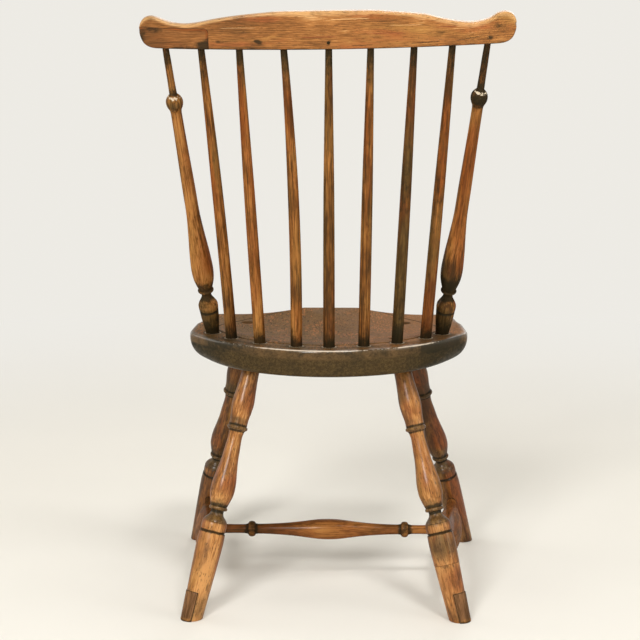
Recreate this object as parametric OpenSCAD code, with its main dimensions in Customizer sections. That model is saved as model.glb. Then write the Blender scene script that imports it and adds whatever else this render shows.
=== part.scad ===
// Fan back Windsor chair, in millimetres.
// It stands on z = 0 and faces -Y. The origin is on the floor under its middle.
// Left and right are the sitter's own, so left is +X.

/* [Seat] */
// Height of the flat deck of the seat above the floor
seat_h = 424; // [415:1:435]
// Thickness of the seat plank
seat_t = 42; // [38:1:46]
// Width across the rear corners of the seat
seat_w = 441; // [432:1:450]
// Width across the front corners of the seat
seat_front_w = 414; // [406:1:424]
// Y of the front edge of the seat
seat_front_y = -218; // [-230:1:-212]
// How far the rear edge of the seat lies behind the spindles
seat_inset = 32; // [28:1:36]
// How far the seat lies to the right of the row of spindles
seat_shift = 2; // [0:0.5:3]
// Width of the worn bevel round the top edge
seat_bevel = 2.5; // [1:0.5:4]
// Rounding of the underside at the middle of the rear edge
under_rear = 7; // [4:1:10]
// Rounding of the underside along the sides and the front
under_side = 33; // [26:1:34]
// Depth of the two saddle scoops at their lowest
scoop_depth = 13.5; // [9:0.5:14]
// Depth of the round hollow between the scoops
hollow_depth = 8; // [4:0.5:9]
// Depth of the gutter cut in front of the spindles
gutter_depth = 1.6; // [1:0.2:2.4]

/* [Back] */
// Y of the middle of the row of spindles at the seat
bow_y = 141; // [138:1:144]
// Half width of the oval that the row follows
bow_a = 240; // [236:1:246]
// Half depth of the oval that the row follows
bow_b = 333; // [325:1:340]
// Half spread of the two posts at the seat
stile_x = 181.5; // [180:0.5:184]
// Half spread of the two posts at the rail
stile_top_x = 230.5; // [227:0.5:233]
// How far both posts enter the rail to the right of even
stile_top_shift = 1.6; // [0:0.1:2.5]
// Radius of a spindle where it enters the seat
spindle_foot_r = 8.8; // [7.8:0.1:9.2]
// Radius of a spindle where it enters the rail
spindle_tip_r = 4.9; // [4.4:0.1:5.4]
// Radius of a post where it enters the rail
stile_tip_r = 4.6; // [4.2:0.1:5]

/* [Crest rail] */
// Height of the rail's lower back edge above the floor, at the middle
crest_z = 877; // [865:1:890]
// Y of the rail's lower back edge at the middle
crest_y = 274; // [268:1:280]
// Radius of the bend along the back face
crest_bend_r = 1200; // [1150:10:1300]
// How far the rail leans back from upright, in degrees
crest_lean = 10.3; // [9:0.1:12]
// How far the rail hangs out of level, in degrees, the right end higher
crest_tilt = 0.82; // [0:0.02:1]
// Length of the rail from ear to ear
crest_w = 538; // [530:1:546]
// How far the rail's middle lies to the right of the spindles' middle
crest_shift = 4; // [0:0.5:5]
// Height of the rail's face at the middle
crest_h = 54.6; // [53:0.2:58]
// Height of the rail's face in the dip beside the left ear
left_dip_h = 34.8; // [34:0.2:36]
// Height of the rail's face in the dip beside the right ear
right_dip_h = 32.2; // [31:0.2:35]
// Thickness of the rail along its lower edge
crest_t = 18; // [17:0.5:20]
// Thickness of the rail along its top
crest_top_t = 12.5; // [11:0.5:14]

/* [Legs] */
// Spread of the rear feet on the floor, from the middle
rear_foot_x = 207.5; // [203:0.5:210]
// Y of the rear feet
rear_foot_y = 171; // [165:1:176]
// Spread of the rear legs at the underside of the seat, from the middle
rear_top_x = 116.5; // [114:0.5:120]
// Y of the rear legs at the underside of the seat
rear_top_y = 73; // [70:1:76]
// Spread of the front feet on the floor, from the middle
front_foot_x = 233; // [228:0.5:236]
// Y of the front feet
front_foot_y = -259; // [-264:1:-252]
// Spread of the front legs at the underside of the seat, from the middle
front_top_x = 137.5; // [132:0.5:137.5]
// Y of the front legs at the underside of the seat
front_top_y = -149; // [-152:1:-149]
// How far both front feet stand to the right of even
front_foot_shift = 3.3; // [0:0.1:5]
// How far both front legs enter the seat to the left of even
front_top_shift = 4.2; // [0:0.1:4.2]
// Radius of a leg at the floor
foot_r = 16.1; // [15:0.1:17.5]
// Largest radius of a leg between its two rings
bulb_r = 18.9; // [17.8:0.1:19.8]
// Radius of a leg where it enters the seat
leg_top_r = 13.1; // [12.5:0.1:14]
// Radius of a leg's tenon where it comes out at the top of the seat
leg_tenon_r = 9.8; // [9:0.1:11]

/* [Stretchers] */
// Height of the stretchers above the floor
stretcher_h = 82; // [76:1:90]
// Radius of every stretcher where it enters its hole
stretcher_end_r = 7.4; // [6.8:0.1:8]
// Largest radius of a side stretcher
side_bulb_r = 20.5; // [19:0.1:21.5]
// Largest radius of the centre stretcher
centre_bulb_r = 16.8; // [15.5:0.1:18]

/* [Joints and repairs] */
// Glue gap round every tenon, peg, wedge and patch
fit_gap = 0.12; // [0.05:0.01:0.2]
// Depth of the blind holes for the spindles in the seat
seat_bore = 24; // [20:1:28]
// Depth of the holes for the spindles and posts in the rail
crest_bore = 17; // [14:1:19]
// Thickness of a wedge at its broad end
wedge_t = 2.6; // [2:0.1:3.4]
// Length of a wedge
wedge_l = 24; // [18:1:28]
// Radius of a rail peg
peg_r = 2.7; // [2.2:0.1:2.9]
// Height of the rail pegs above the rail's lower edge
peg_z = 10; // [8:0.5:12]
// Distance from the middle to the inner end of the rail patch
patch_x = 165; // [160:1:168]
// Height of the rail patch
patch_h = 30; // [27:0.5:31]
// Depth of the rail patch
patch_t = 5; // [4:0.5:6]
// Height of the pieces let into the rear feet, along the leg
foot_patch_h = 42; // [36:1:46]
// Distance from the leg's middle line to the bed of a foot patch
foot_patch_in = 2; // [1:0.5:4]
// How far a foot patch stands proud of the leg
foot_patch_proud = 1.1; // [0.5:0.1:1.5]
// Height of the pieced end of one rear leg, along the leg
tip_h = 88; // [80:1:94]
// Radius of the dowel that joins the pieced end
tip_dowel_r = 7; // [6:0.5:8]
// Length of the dowel that joins the pieced end
tip_dowel_l = 26; // [20:1:34]

/* [Hidden] */
$fn = 96;

// Colours of the old varnish
SEAT = [0.30, 0.20, 0.13];
RAIL = [0.72, 0.46, 0.22];
STICK = [0.50, 0.29, 0.14];
LEG = [0.60, 0.35, 0.17];
DARK = [0.33, 0.20, 0.13];

// Places of the seven spindles in the seat and in the rail, bored by eye from left to right
spindle_x = [149, 102.5, 45.5, -4.5, -57.5, -109, -154.5];
spindle_top_x = [177, 122, 58.5, -5.5, -65, -126.8, -181.5];
// How far each spindle has bowed to the right at half its length
spindle_bow = [2, 0, 5, 0, 0, 0, 0];

seat_bottom = seat_h - seat_t;
left = 1;
right = -1;
// How far cutters reach past a face that they only have to clear, and past the turned parts
over = 2;
reach = 40;
// Turn of a round piece or hole about its own axis, which keeps its seam off the line of its lean
seam_turn = 40;

// Points and directions

function mix(a, b, t) = a + (b - a) * t;
function unit(v) = v / norm(v);

// One point of a smooth curve through four points, between the middle two
function curve_point(a, b, c, d, t) =
    b + (c - a) * t / 2 + (2 * a - 5 * b + 4 * c - d) * t * t / 2
    + (3 * b - a - 3 * c + d) * t * t * t / 2;

// A smooth curve through a list of points, with n steps between each two
function curve(p, n = 3) = concat(
    [for (i = [0:len(p) - 2], k = [0:n - 1])
        curve_point(p[max(i - 1, 0)], p[i], p[i + 1], p[min(i + 2, len(p) - 1)], k / n)],
    [p[len(p) - 1]]
);

// A whole outline from its left half and, mirrored, its right half
function whole(p, q) = concat(p, [for (i = [len(q) - 2:-1:1]) [-q[i][0], q[i][1]]]);

// Slope of the radius at one mark of a turning
function slope(p, i) =
    let (a = p[max(i - 1, 0)], b = p[min(i + 1, len(p) - 1)])
    (b[1] - a[1]) / (b[0] - a[0]);

// A smooth stretch of a turning through its marks, each a station and a radius
function swell(p, n = 3) = concat(
    [for (i = [0:len(p) - 2], k = [0:n - 1])
        let (t = k / n, w = p[i + 1][0] - p[i][0])
        [p[i][0] + t * w,
         p[i][1] * (2 * t * t * t - 3 * t * t + 1) + p[i + 1][1] * (3 * t * t - 2 * t * t * t)
         + slope(p, i) * w * (t * t * t - 2 * t * t + t)
         + slope(p, i + 1) * w * (t * t * t - t * t)]],
    [p[len(p) - 1]]
);

// Half a ball, bead or other round swelling of a turning
function bead(middle, half, r_end, r_mid, n = 6) =
    [for (k = [-n:n]) [middle + half * sin(90 * k / n), r_end + (r_mid - r_end) * cos(90 * k / n)]];

// A list of marks widened by a gap
function widened(marks, gap) = [for (m = marks) [m[0], m[1] + gap]];

// A solid turned about the Z axis, from a list of stations and radii
module turned(marks) {
    first = marks[0][0];
    last = marks[len(marks) - 1][0];
    rotate([0, 0, seam_turn])
        rotate_extrude()
            polygon(concat([[0, first]], [for (m = marks) [m[1], m[0]]], [[0, last]]));
}

// A solid skinned over rings from the top down, each clockwise as seen from above
module skin(rings) {
    n = len(rings[0]);
    last = len(rings) - 1;
    polyhedron(
        points = [for (r = rings, p = r) p],
        faces = concat(
            [[for (i = [0:n - 1]) i]],
            [[for (i = [n - 1:-1:0]) last * n + i]],
            [for (r = [0:last - 1], i = [0:n - 1]) [r * n + i, (r + 1) * n + i, (r + 1) * n + (i + 1) % n]],
            [for (r = [0:last - 1], i = [0:n - 1]) [r * n + i, (r + 1) * n + (i + 1) % n, r * n + (i + 1) % n]]
        )
    );
}

// Stands its children on a, with their Z axis toward b
module along(a, b) {
    d = b - a;
    translate(a)
        rotate([0, acos(d[2] / norm(d)), atan2(d[1], d[0])])
            children();
}

// A slab wider than the chair, from a height up, to trim the turned parts with
slab_w = 800;
slab_t = 60;
module slab(z) {
    translate([-slab_w / 2, -slab_w / 2, z])
        cube([slab_w, slab_w, slab_t]);
}

// Row of spindles

// Y of the row of spindles, or of a line that lies behind it by an inset
function bow(x, inset = 0) =
    bow_y + inset - (bow_b + inset) * (1 - sqrt(1 - pow(x / (bow_a + inset), 2)));

function on_deck(x) = [x, bow(x), seat_h];

// Crest frame

// How far the bend brings the back face forward at a distance from the middle
function bend(x) = crest_bend_r - sqrt(crest_bend_r * crest_bend_r - x * x);

// A point of the rail's own frame, placed in the chair
function from_crest(p) =
    let (x = p[0] * cos(crest_tilt) + p[2] * sin(crest_tilt),
         z = p[2] * cos(crest_tilt) - p[0] * sin(crest_tilt))
    [x, crest_y + p[1] * cos(crest_lean) + z * sin(crest_lean),
     crest_z + z * cos(crest_lean) - p[1] * sin(crest_lean)];

module in_crest() {
    translate([0, crest_y, crest_z])
        rotate([-crest_lean, 0, 0])
            rotate([0, crest_tilt, 0])
                children();
}

// Where a stick enters the lower face of the rail
function in_rail(x, forward = 0) = from_crest([x, -bend(x) - crest_t / 2 - forward, 0]);

// Posts lean back further than the rail, so they enter it a little in front of its middle
stile_forward = 2;

function spindle_from(i) = on_deck(spindle_x[i]);
function spindle_to(i) = in_rail(spindle_top_x[i]);
function stile_from(side) = on_deck(side * stile_x);
function stile_to(side) = in_rail(side * stile_top_x - stile_top_shift, stile_forward);

// Leg frame

function leg_foot(rear, side) =
    rear ? [side * rear_foot_x, rear_foot_y, 0] : [side * front_foot_x - front_foot_shift, front_foot_y, 0];
function leg_head(rear, side) =
    rear ? [side * rear_top_x, rear_top_y, seat_bottom]
    : [side * front_top_x + front_top_shift, front_top_y, seat_bottom];
function leg_at(rear, side, z) = mix(leg_foot(rear, side), leg_head(rear, side), z / seat_bottom);
function leg_l(rear, side) = norm(leg_head(rear, side) - leg_foot(rear, side));
// Station at which the leg's middle line comes out at the top of the seat
function leg_top_l(rear, side) = leg_l(rear, side) * seat_h / seat_bottom;

module on_leg(rear, side) {
    along(leg_foot(rear, side), leg_head(rear, side))
        children();
}

// Seat

// Marks of half the seat's outline from the middle of the rear edge to the middle of the front edge
seat_half = let (w = seat_w / 2, f = seat_front_w / 2, c = bow(w - 8, seat_inset)) concat(
    [for (x = [0:30:180]) [x, bow(x, seat_inset)]],
    [[w - 8, c], [w, c - 22], [w - 0.5, c - 48]],
    [for (k = [1:3]) [mix(w - 0.5, f + 2, k / 4), mix(c - 48, seat_front_y + 54, k / 4)]],
    [[f + 2, seat_front_y + 54], [f - 3, seat_front_y + 24], [f - 24, seat_front_y + 6]],
    [for (k = [3:-1:0]) [(f - 24) * k / 4, seat_front_y + k * k / 8]]
);

// Rounding of the underside at a mark of the outline: slight at the rear, full from the corners on
function under(p) =
    p[1] < bow(seat_w / 2 - 8, seat_inset) - 10
        ? under_side
        : under_rear + (under_side - under_rear) * pow(max(0, p[0] - 90) / (seat_w / 2 - 90), 2);

// Direction out of the outline at one of its marks
function outward(p, i) =
    let (a = p[max(i - 1, 0)], b = p[min(i + 1, len(p) - 1)], d = b - a)
    i == 0 ? [0, 1] : i == len(p) - 1 ? [0, -1] : unit([-d[1], d[0]]);

// The outline's marks on the flat of the underside
under_half = [for (i = [0:len(seat_half) - 1]) seat_half[i] - outward(seat_half, i) * under(seat_half[i])];

// The outline at its widest, on the flat of the underside, and inside the bevel on top
edge = whole(curve(seat_half), curve(seat_half));
flat = whole(curve(under_half), curve(under_half));
brow = [for (i = [0:len(edge) - 1])
    let (a = edge[(i + len(edge) - 1) % len(edge)], b = edge[(i + 1) % len(edge)], d = unit(b - a))
    edge[i] - seat_bevel * [-d[1], d[0]]];

// Rings of the plank from the top down: bevel, edge, and steps round the underside
under_steps = 4;
function ring(points, z) = [for (p = points) [p[0], p[1], z]];
function under_ring(t) = [for (i = [0:len(edge) - 1])
    let (r = min(norm(edge[i] - flat[i]), seat_t - seat_bevel - 1), p = mix(edge[i], flat[i], 1 - cos(t)))
    [p[0], p[1], seat_bottom + r * (1 - sin(t))]];
plank_rings = concat(
    [ring(brow, seat_h), ring(edge, seat_h - seat_bevel)],
    [for (k = [0:under_steps]) under_ring(90 * k / under_steps)]
);

// Saddle

// Lowest point of a scoop's long hollow, and where its middle line points
scoop_low = [127, -132];
scoop_turn = 22;
// Radius across a scoop and radius along it
scoop_across_r = 430;
scoop_along_r = 1650;
scoop_half_w = 135;
// Half the angle that a scoop is swept through, longer than the seat
scoop_sweep = 8;
hollow_r = 900;
hollow_y = -5;
hollow_half_w = 160;
gutter_gap = 13;
gutter_r = 3;
gutter_bow_r = 181;
gutter_sweep = 58;
above = 30;

// What one scoop takes out of the plank
module scoop(side) {
    translate([side * scoop_low[0] - seat_shift, scoop_low[1], seat_h - scoop_depth + scoop_along_r])
        rotate([0, 0, side * scoop_turn])
            rotate([0, 90, 0])
                rotate_extrude(angle = 2 * scoop_sweep, start = -scoop_sweep, $fn = 256)
                    intersection() {
                        translate([scoop_along_r - scoop_across_r, 0])
                            circle(scoop_across_r, $fn = 256);
                        translate([scoop_along_r - scoop_depth - above, -scoop_half_w])
                            square([scoop_depth + above + over, 2 * scoop_half_w]);
                    }
}

// Everything that is cut from the top of the seat, which the leg tenons are cut to as well
module saddle() {
    scoop(left);
    scoop(right);
    translate([-seat_shift, hollow_y, seat_h - hollow_depth + hollow_r])
        intersection() {
            sphere(hollow_r, $fn = 256);
            translate([0, 0, -hollow_r])
                cylinder(r = hollow_half_w, h = hollow_depth + above);
        }
}

// The gutter, a round-bottomed groove in an arc
module gutter() {
    translate([0, bow_y - gutter_gap - gutter_bow_r, seat_h + gutter_r - gutter_depth])
        rotate_extrude(angle = 2 * gutter_sweep, start = 90 - gutter_sweep, $fn = 180)
            translate([gutter_bow_r, 0])
                circle(gutter_r, $fn = 24);
}

// How far a hole's cutter stands out of its mouth
mouth = 12;

// The holes in the seat
module seat_holes() {
    for (i = [0:6])
        along(spindle_from(i), spindle_to(i))
            rotate([0, 0, seam_turn])
                translate([0, 0, -seat_bore - fit_gap])
                    cylinder(r = spindle_foot_r + fit_gap, h = seat_bore + mouth);
    for (side = [left, right])
        along(stile_from(side), stile_to(side))
            turned(widened(stile_tenon, fit_gap));
    for (rear = [true, false], side = [left, right])
        on_leg(rear, side)
            turned(widened(leg_tenon(rear, side), fit_gap));
}

module bored_plank() {
    difference() {
        translate([-seat_shift, 0, 0])
            skin(plank_rings);
        seat_holes();
    }
}

module seat() {
    color(SEAT)
        difference() {
            difference() {
                bored_plank();
                gutter();
            }
            saddle();
        }
}

// Posts

stile_foot_r = 10.3;
stile_tenon_r = 8.6;
stile_tenon_l = 52;
stile_tenon = [[-stile_tenon_l, stile_tenon_r], [0, stile_foot_r], [mouth, stile_foot_r + 1.5]];
ball_r = 12.6;
// Station of the ball on the left post, and how much higher it was turned on the right one
ball_at = 416.5;
ball_rise = 8;

// The post's turning from the deck up; its thin upper end runs on into the rail
function stile_marks(l, ball) = concat(
    swell([[-stile_tenon_l, stile_tenon_r], [0, stile_foot_r], [10, 11.4], [25, 13.2], [45, 14.8]]),
    [[46.2, 14.1]],
    swell([[47.4, 14.9], [51.5, 15.3], [56.5, 15.1], [61, 13.4], [66, 10.6], [70.5, 8.3], [75.5, 7.4], [80, 7.9]]),
    bead(83, 2.4, 10.4, 12.4, 3),
    swell([[86.2, 10.5], [94, 13], [104, 15.5], [114, 16.7], [125, 17], [139, 16.4], [158, 15.2],
        [176, 13.6], [195, 12.1], [213, 10.8], [231, 10.1], [266, 9.9], [301, 9.4], [336, 8.8], [370, 8.3]]),
    swell([[ball - 18, 8.1], [ball - 13, 8.7], [ball - 8, 10.9], [ball - 4, 12.2], [ball, ball_r],
        [ball + 4, 12.1], [ball + 8, 10.3], [ball + 11.5, 7.4], [ball + 13.5, 5.6]]),
    swell([[mix(ball, l, 0.4), 5.2], [mix(ball, l, 0.72), 5], [l, stile_tip_r]]),
    [[l + crest_bore, stile_tip_r]]
);

module stile(side) {
    a = stile_from(side);
    b = stile_to(side);
    color(STICK)
        difference() {
            along(a, b)
                turned(stile_marks(norm(b - a), side == left ? ball_at : ball_at + ball_rise));
            slab(seat_bottom - slab_t);
            stile_wedge(side, fit_gap);
            if (side == right)
                rail_peg(1, fit_gap);
        }
}

// Spindles

function spindle_marks(l) = concat(
    [[-seat_bore, spindle_foot_r]],
    swell([[0, spindle_foot_r], [0.26 * l, spindle_foot_r - 0.1], [0.52 * l, spindle_foot_r - 0.7],
        [0.65 * l, 7.4], [0.75 * l, 6.7], [0.85 * l, 6], [0.93 * l, 5.4], [l, spindle_tip_r]]),
    [[l + crest_bore, spindle_tip_r]]
);

// Rings of a stick that has bowed to the right between its ends, in its own frame along d
bow_sides = 32;
function bowed_rings(marks, d, sag) =
    let (l = norm(d), turn = atan2(d[1], d[0]), to = [-cos(turn) * d[2] / l, sin(turn)])
    [for (i = [len(marks) - 1:-1:0])
        let (t = min(max(marks[i][0] / l, 0), 1), o = 4 * sag * t * (1 - t) * to, r = marks[i][1])
        [for (k = [0:bow_sides - 1])
            let (a = 360 * k / bow_sides)
            [o[0] + r * cos(a), o[1] - r * sin(a), marks[i][0]]]];

// The spindle that a peg holds in the rail, counted from 0
pegged_spindle = 3;

module spindle(i) {
    a = spindle_from(i);
    b = spindle_to(i);
    marks = spindle_marks(norm(b - a));
    color(STICK)
        difference() {
            along(a, b)
                if (spindle_bow[i] == 0)
                    turned(marks);
                else
                    skin(bowed_rings(marks, b - a, spindle_bow[i]));
            if (i == pegged_spindle)
                rail_peg(0, fit_gap);
        }
}

// Crest rail

// Marks of half the rail's outline, from the middle of the lower edge round to the middle of the top,
// as distances from the rail's middle and heights above its lower edge; dip is the height beside the ear
function crest_half(dip) = let (e = crest_w / 2, h = crest_h) [
    [0, 0], [40, 0], [80, 0], [120, 0], [160, 0], [200, 0], [232, 0],
    [e - 18, 0.8], [e - 7, 6], [e - 1.5, 16], [e, 27], [e - 2, 36], [e - 8, 42.6],
    [e - 17, 45.2], [e - 27, 43.2], [e - 39, dip + 4.2], [e - 52, dip + 1], [e - 66, dip],
    [e - 84, dip + 2.2], [e - 106, dip + 7], [e - 130, 0.842 * h], [e - 156, 0.903 * h],
    [e - 184, 0.956 * h], [70, 0.98 * h], [36, 0.996 * h], [0, h]
];

module rail_outline() {
    translate([-crest_shift, 0])
        polygon(whole(curve(crest_half(left_dip_h)), curve(crest_half(right_dip_h))));
}

// Turns its flat children about the rail's axis of bending; their X is the distance from that axis
module bent() {
    half_angle = asin((crest_w / 2 + crest_shift) / crest_bend_r) + 1;
    translate([0, -crest_bend_r, 0])
        rotate_extrude(angle = 2 * half_angle, start = 90 - half_angle, $fn = 256)
            children();
}

// Carries a flat outline through the bent rail from back to front
rail_reach = 100;
module across_rail() {
    translate([0, over, 0])
        rotate([90, 0, 0])
            linear_extrude(rail_reach)
                children();
}

// The rail without its holes, in its own frame: the board tapers in thickness toward the top
module rail_blank() {
    r = crest_bend_r;
    intersection() {
        bent()
            polygon([[r - crest_t, -over], [r, -over], [r, crest_h + over], [r - crest_top_t, crest_h + over]]);
        across_rail()
            rail_outline();
    }
}

// The bed of the rail patch, from its inner end to beyond the ear
patch_corner_r = 6;
module patch_bed(gap) {
    inner = patch_x + patch_corner_r;
    intersection() {
        bent()
            translate([crest_bend_r - patch_t - gap, -over])
                square([patch_t + gap + over, patch_h + 2 * over + gap]);
        across_rail()
            union() {
                translate([inner, -over])
                    square([crest_w / 2 - patch_x, patch_h + over + gap]);
                translate([patch_x - gap, -over])
                    square([patch_corner_r + over, patch_h + over - patch_corner_r]);
                translate([inner, patch_h - patch_corner_r])
                    circle(patch_corner_r + gap);
            }
    }
}

// A hole in the rail for a stick of radius r that stands at a and enters the rail at b
module rail_hole(a, b, r) {
    along(a, b)
        translate([0, 0, norm(b - a) - mouth])
            cylinder(r = r + fit_gap, h = crest_bore + mouth + fit_gap);
}

// The holes in the rail and its patch, in the chair's frame
module rail_holes() {
    for (i = [0:6])
        rail_hole(spindle_from(i), spindle_to(i), spindle_tip_r);
    for (side = [left, right])
        rail_hole(stile_from(side), stile_to(side), stile_tip_r);
    for (k = [0:1])
        rail_peg(k, fit_gap);
}

module crest_rail() {
    color(RAIL)
        difference() {
            in_crest()
                difference() {
                    rail_blank();
                    patch_bed(fit_gap);
                }
            rail_holes();
        }
}

module crest_patch() {
    color(DARK)
        difference() {
            in_crest()
                intersection() {
                    rail_blank();
                    patch_bed(0);
                }
            rail_holes();
        }
}

// Rail pegs: one through the end of a spindle and one through the end of the right post
post_top_x = right * stile_top_x - stile_top_shift;
post_peg_x = post_top_x + peg_z * (post_top_x - right * stile_x) / (crest_z - seat_h);
peg_x = [spindle_top_x[pegged_spindle], post_peg_x];
// A peg reaches through the stick that it holds
peg_l = crest_t / 2 + stile_forward + stile_tip_r;

module rail_peg(k, gap) {
    in_crest()
        translate([peg_x[k], gap - bend(peg_x[k]), peg_z])
            rotate([90, 0, -asin(peg_x[k] / crest_bend_r)])
                cylinder(r = peg_r + gap, h = peg_l + gap);
}

module crest_pegs() {
    color(DARK)
        for (k = [0:1])
            rail_peg(k, 0);
}

// Legs

// Stations of the groove below the cup and of the two turned rings
leg_groove = 138;
leg_rings = [175.5, 304];

// Marks of a leg's tenon, which tapers up through the seat
function leg_tenon(rear, side) = let (l = leg_l(rear, side), top = leg_top_l(rear, side)) [
    [l - 6, leg_top_r + 0.5],
    [l, leg_top_r],
    [top, leg_tenon_r],
    [top + mouth, leg_tenon_r - 0.6]
];

// The leg's turning from the floor up, to the top of the seat
function leg_marks(rear, side) = let (l = leg_l(rear, side), tenon = leg_tenon(rear, side)) concat(
    swell([[-mouth, foot_r - 0.4], [0, foot_r], [30, 17.3], [61, 18.6], [93, 19.9], [122, 20.7],
        [leg_groove - 1.6, 20.1]]),
    [[leg_groove, 18.1]],
    swell([[leg_groove + 1.6, 19.4], [147, 19.8], [152.6, 19.4]]),
    [[153.4, 18.7]],
    swell([[154.2, 19.1], [158, 16.9], [161.5, 13.7], [164.5, 11.3], [168, 10], [171.8, 9.8]]),
    bead(leg_rings[0], 2.6, 12.6, 14.4, 3),
    swell([[179, 13.2], [184, 14.7], [190, 16.5], [198, 18.4], [208, bulb_r], [219, 18.3], [232, 16.3], [252, 13.4],
        [268, 12.3], [284, 11], [291, 10.9], [298.5, 12]]),
    bead(leg_rings[1], 2.8, 14, 16.1, 3),
    swell([[307.8, 14.2], [318, 14.4], [330, 16], [344, 17.1], [364, 15.5], [380, 14.2], [l, leg_top_r]]),
    [tenon[2], tenon[3]]
);

// A leg trimmed to the floor and to the saddled top of the seat, with its holes
module trimmed_leg(rear, side) {
    difference() {
        on_leg(rear, side)
            turned(leg_marks(rear, side));
        slab(-slab_t);
        slab(seat_h);
        saddle();
        leg_wedge(rear, side, fit_gap);
        side_hole(side);
    }
}

module leg_rear_left() {
    color(LEG)
        difference() {
            trimmed_leg(true, left);
            foot_patch_bed(left, fit_gap);
        }
}

// The part of a leg's length that the pieced end takes up
module tip_length(gap) {
    translate([0, 0, -reach])
        cylinder(r = reach, h = tip_h + reach + gap);
}

module leg_rear_right() {
    color(LEG)
        difference() {
            trimmed_leg(true, right);
            on_leg(true, right)
                union() {
                    tip_length(fit_gap);
                    cylinder(r = tip_dowel_r + fit_gap, h = tip_h + tip_dowel_l + 2 * fit_gap);
                }
        }
}

// The pieced end of the right rear leg, with its dowel
module foot_tip_right() {
    color(LEG)
        difference() {
            on_leg(true, right)
                union() {
                    intersection() {
                        turned(leg_marks(true, right));
                        tip_length(0);
                    }
                    translate([0, 0, tip_h - mouth])
                        cylinder(r = tip_dowel_r, h = tip_dowel_l + mouth);
                }
            slab(-slab_t);
            foot_patch_bed(right, fit_gap);
            side_hole(right);
        }
}

// Foot patches

// Turn of a patch's face about the leg, so that it looks outward and a little to the rear
patch_turn = 12;

// Direction of the patch in the leg's own frame, whose X axis is turned with the leg's rake
function foot_patch_angle(side) =
    let (d = leg_head(true, side) - leg_foot(true, side))
    (side == left ? patch_turn : 180 - patch_turn) - atan2(d[1], d[0]);

module foot_patch_bed(side, gap) {
    on_leg(true, side)
        rotate([0, 0, foot_patch_angle(side)])
            translate([foot_patch_in - gap, -reach, -reach])
                cube([reach, 2 * reach, foot_patch_h + reach + gap]);
}

module foot_patch(side) {
    r = foot_r + foot_patch_proud;
    color(DARK)
        difference() {
            intersection() {
                on_leg(true, side)
                    turned([[-mouth, r - 0.5], [foot_patch_h + mouth, r + 2.2]]);
                foot_patch_bed(side, 0);
            }
            slab(-slab_t);
        }
}

// Wedges

// A wedge that crosses a tenon: its broad end is at z = 0 and its thin end below
wedge_w = 60;
module wedge_shape(gap) {
    broad = wedge_t / 2 + gap;
    thin = 0.4 + gap;
    deep = wedge_l + gap;
    rotate([90, 0, 0])
        translate([0, 0, -wedge_w / 2])
            linear_extrude(wedge_w)
                polygon([[-broad, mouth], [broad, mouth], [broad, 0], [thin, -deep], [-thin, -deep], [-broad, 0]]);
}

// A leg wedge lies in its tenon, trimmed to the tenon's sides and to the top of the seat
module leg_wedge(rear, side, gap) {
    d = leg_head(rear, side) - leg_foot(rear, side);
    on_leg(rear, side)
        translate([0, 0, leg_top_l(rear, side)])
            rotate([0, 0, 90 - atan2(d[1], d[0])])
                wedge_shape(gap);
}

module leg_wedges() {
    color(DARK)
        for (rear = [true, false], side = [left, right])
            difference() {
                intersection() {
                    leg_wedge(rear, side, 0);
                    on_leg(rear, side)
                        turned(leg_tenon(rear, side));
                }
                slab(seat_h);
                saddle();
            }
}

// A post wedge is driven in from under the seat
module stile_wedge(side, gap) {
    a = stile_from(side);
    b = stile_to(side);
    d = b - a;
    along(a, b)
        translate([0, 0, -seat_t * norm(d) / d[2]])
            rotate([180, 0, atan2(d[1], d[0]) - 90])
                wedge_shape(gap);
}

module stile_wedges() {
    color(DARK)
        for (side = [left, right])
            intersection() {
                stile_wedge(side, 0);
                along(stile_from(side), stile_to(side))
                    turned(stile_tenon);
                slab(seat_bottom);
            }
}

// Stretchers

// Distance of a stretcher's ends from the middle lines of the parts they enter
side_in = 3;
centre_in = 5;
function side_mid(side) =
    (leg_at(true, side, stretcher_h) + leg_at(false, side, stretcher_h)) / 2;
function side_l(side) = norm(leg_at(true, side, stretcher_h) - leg_at(false, side, stretcher_h));
centre_l = norm(side_mid(left) - side_mid(right));
centre_rings = 126;

// A side stretcher's turning from the rear leg to the front leg
function side_marks(side) = let (l = side_l(side), e = stretcher_end_r) concat(
    [[side_in, e]],
    swell([[24, e], [44, 8.4], [70, 10.6], [100, 14.4], [130, 17.6], [160, 19.7], [l / 2, side_bulb_r],
        [l - 160, 19.7], [l - 130, 17.6], [l - 100, 14.4], [l - 70, 10.6], [l - 44, 8.4], [l - 24, e]]),
    [[l - side_in, e]]
);

module on_side(side) {
    along(leg_at(true, side, stretcher_h), leg_at(false, side, stretcher_h))
        children();
}

// The two holes for a side stretcher, in the legs of one side
module side_hole(side) {
    on_side(side)
        union() {
            translate([0, 0, side_in - fit_gap])
                cylinder(r = stretcher_end_r + fit_gap, h = reach);
            translate([0, 0, side_l(side) - side_in + fit_gap - reach])
                cylinder(r = stretcher_end_r + fit_gap, h = reach);
        }
}

// Stations of the centre stretcher count from its middle
function centre_marks() = let (e = centre_l / 2 - centre_in, r = stretcher_end_r, c = centre_rings) concat(
    [[-e, r]],
    swell([[-e + 24, r], [-c - 12, r], [-c - 6.5, 8.6]]),
    bead(-c, 5.2, 10.4, 12.8, 3),
    swell([[6.5 - c, 8.8], [12 - c, 8.1], [-90, 8.8], [-66, 10.4], [-48, 12.3], [-32, 14.3], [-16, 16.2],
        [0, centre_bulb_r], [16, 16.2], [32, 14.3], [48, 12.3], [66, 10.4], [90, 8.8], [c - 12, 8.1],
        [c - 6.5, 8.8]]),
    bead(c, 5.2, 10.4, 12.8, 3),
    swell([[c + 6.5, 8.6], [c + 12, r], [e - 24, r]]),
    [[e, r]]
);

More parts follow.
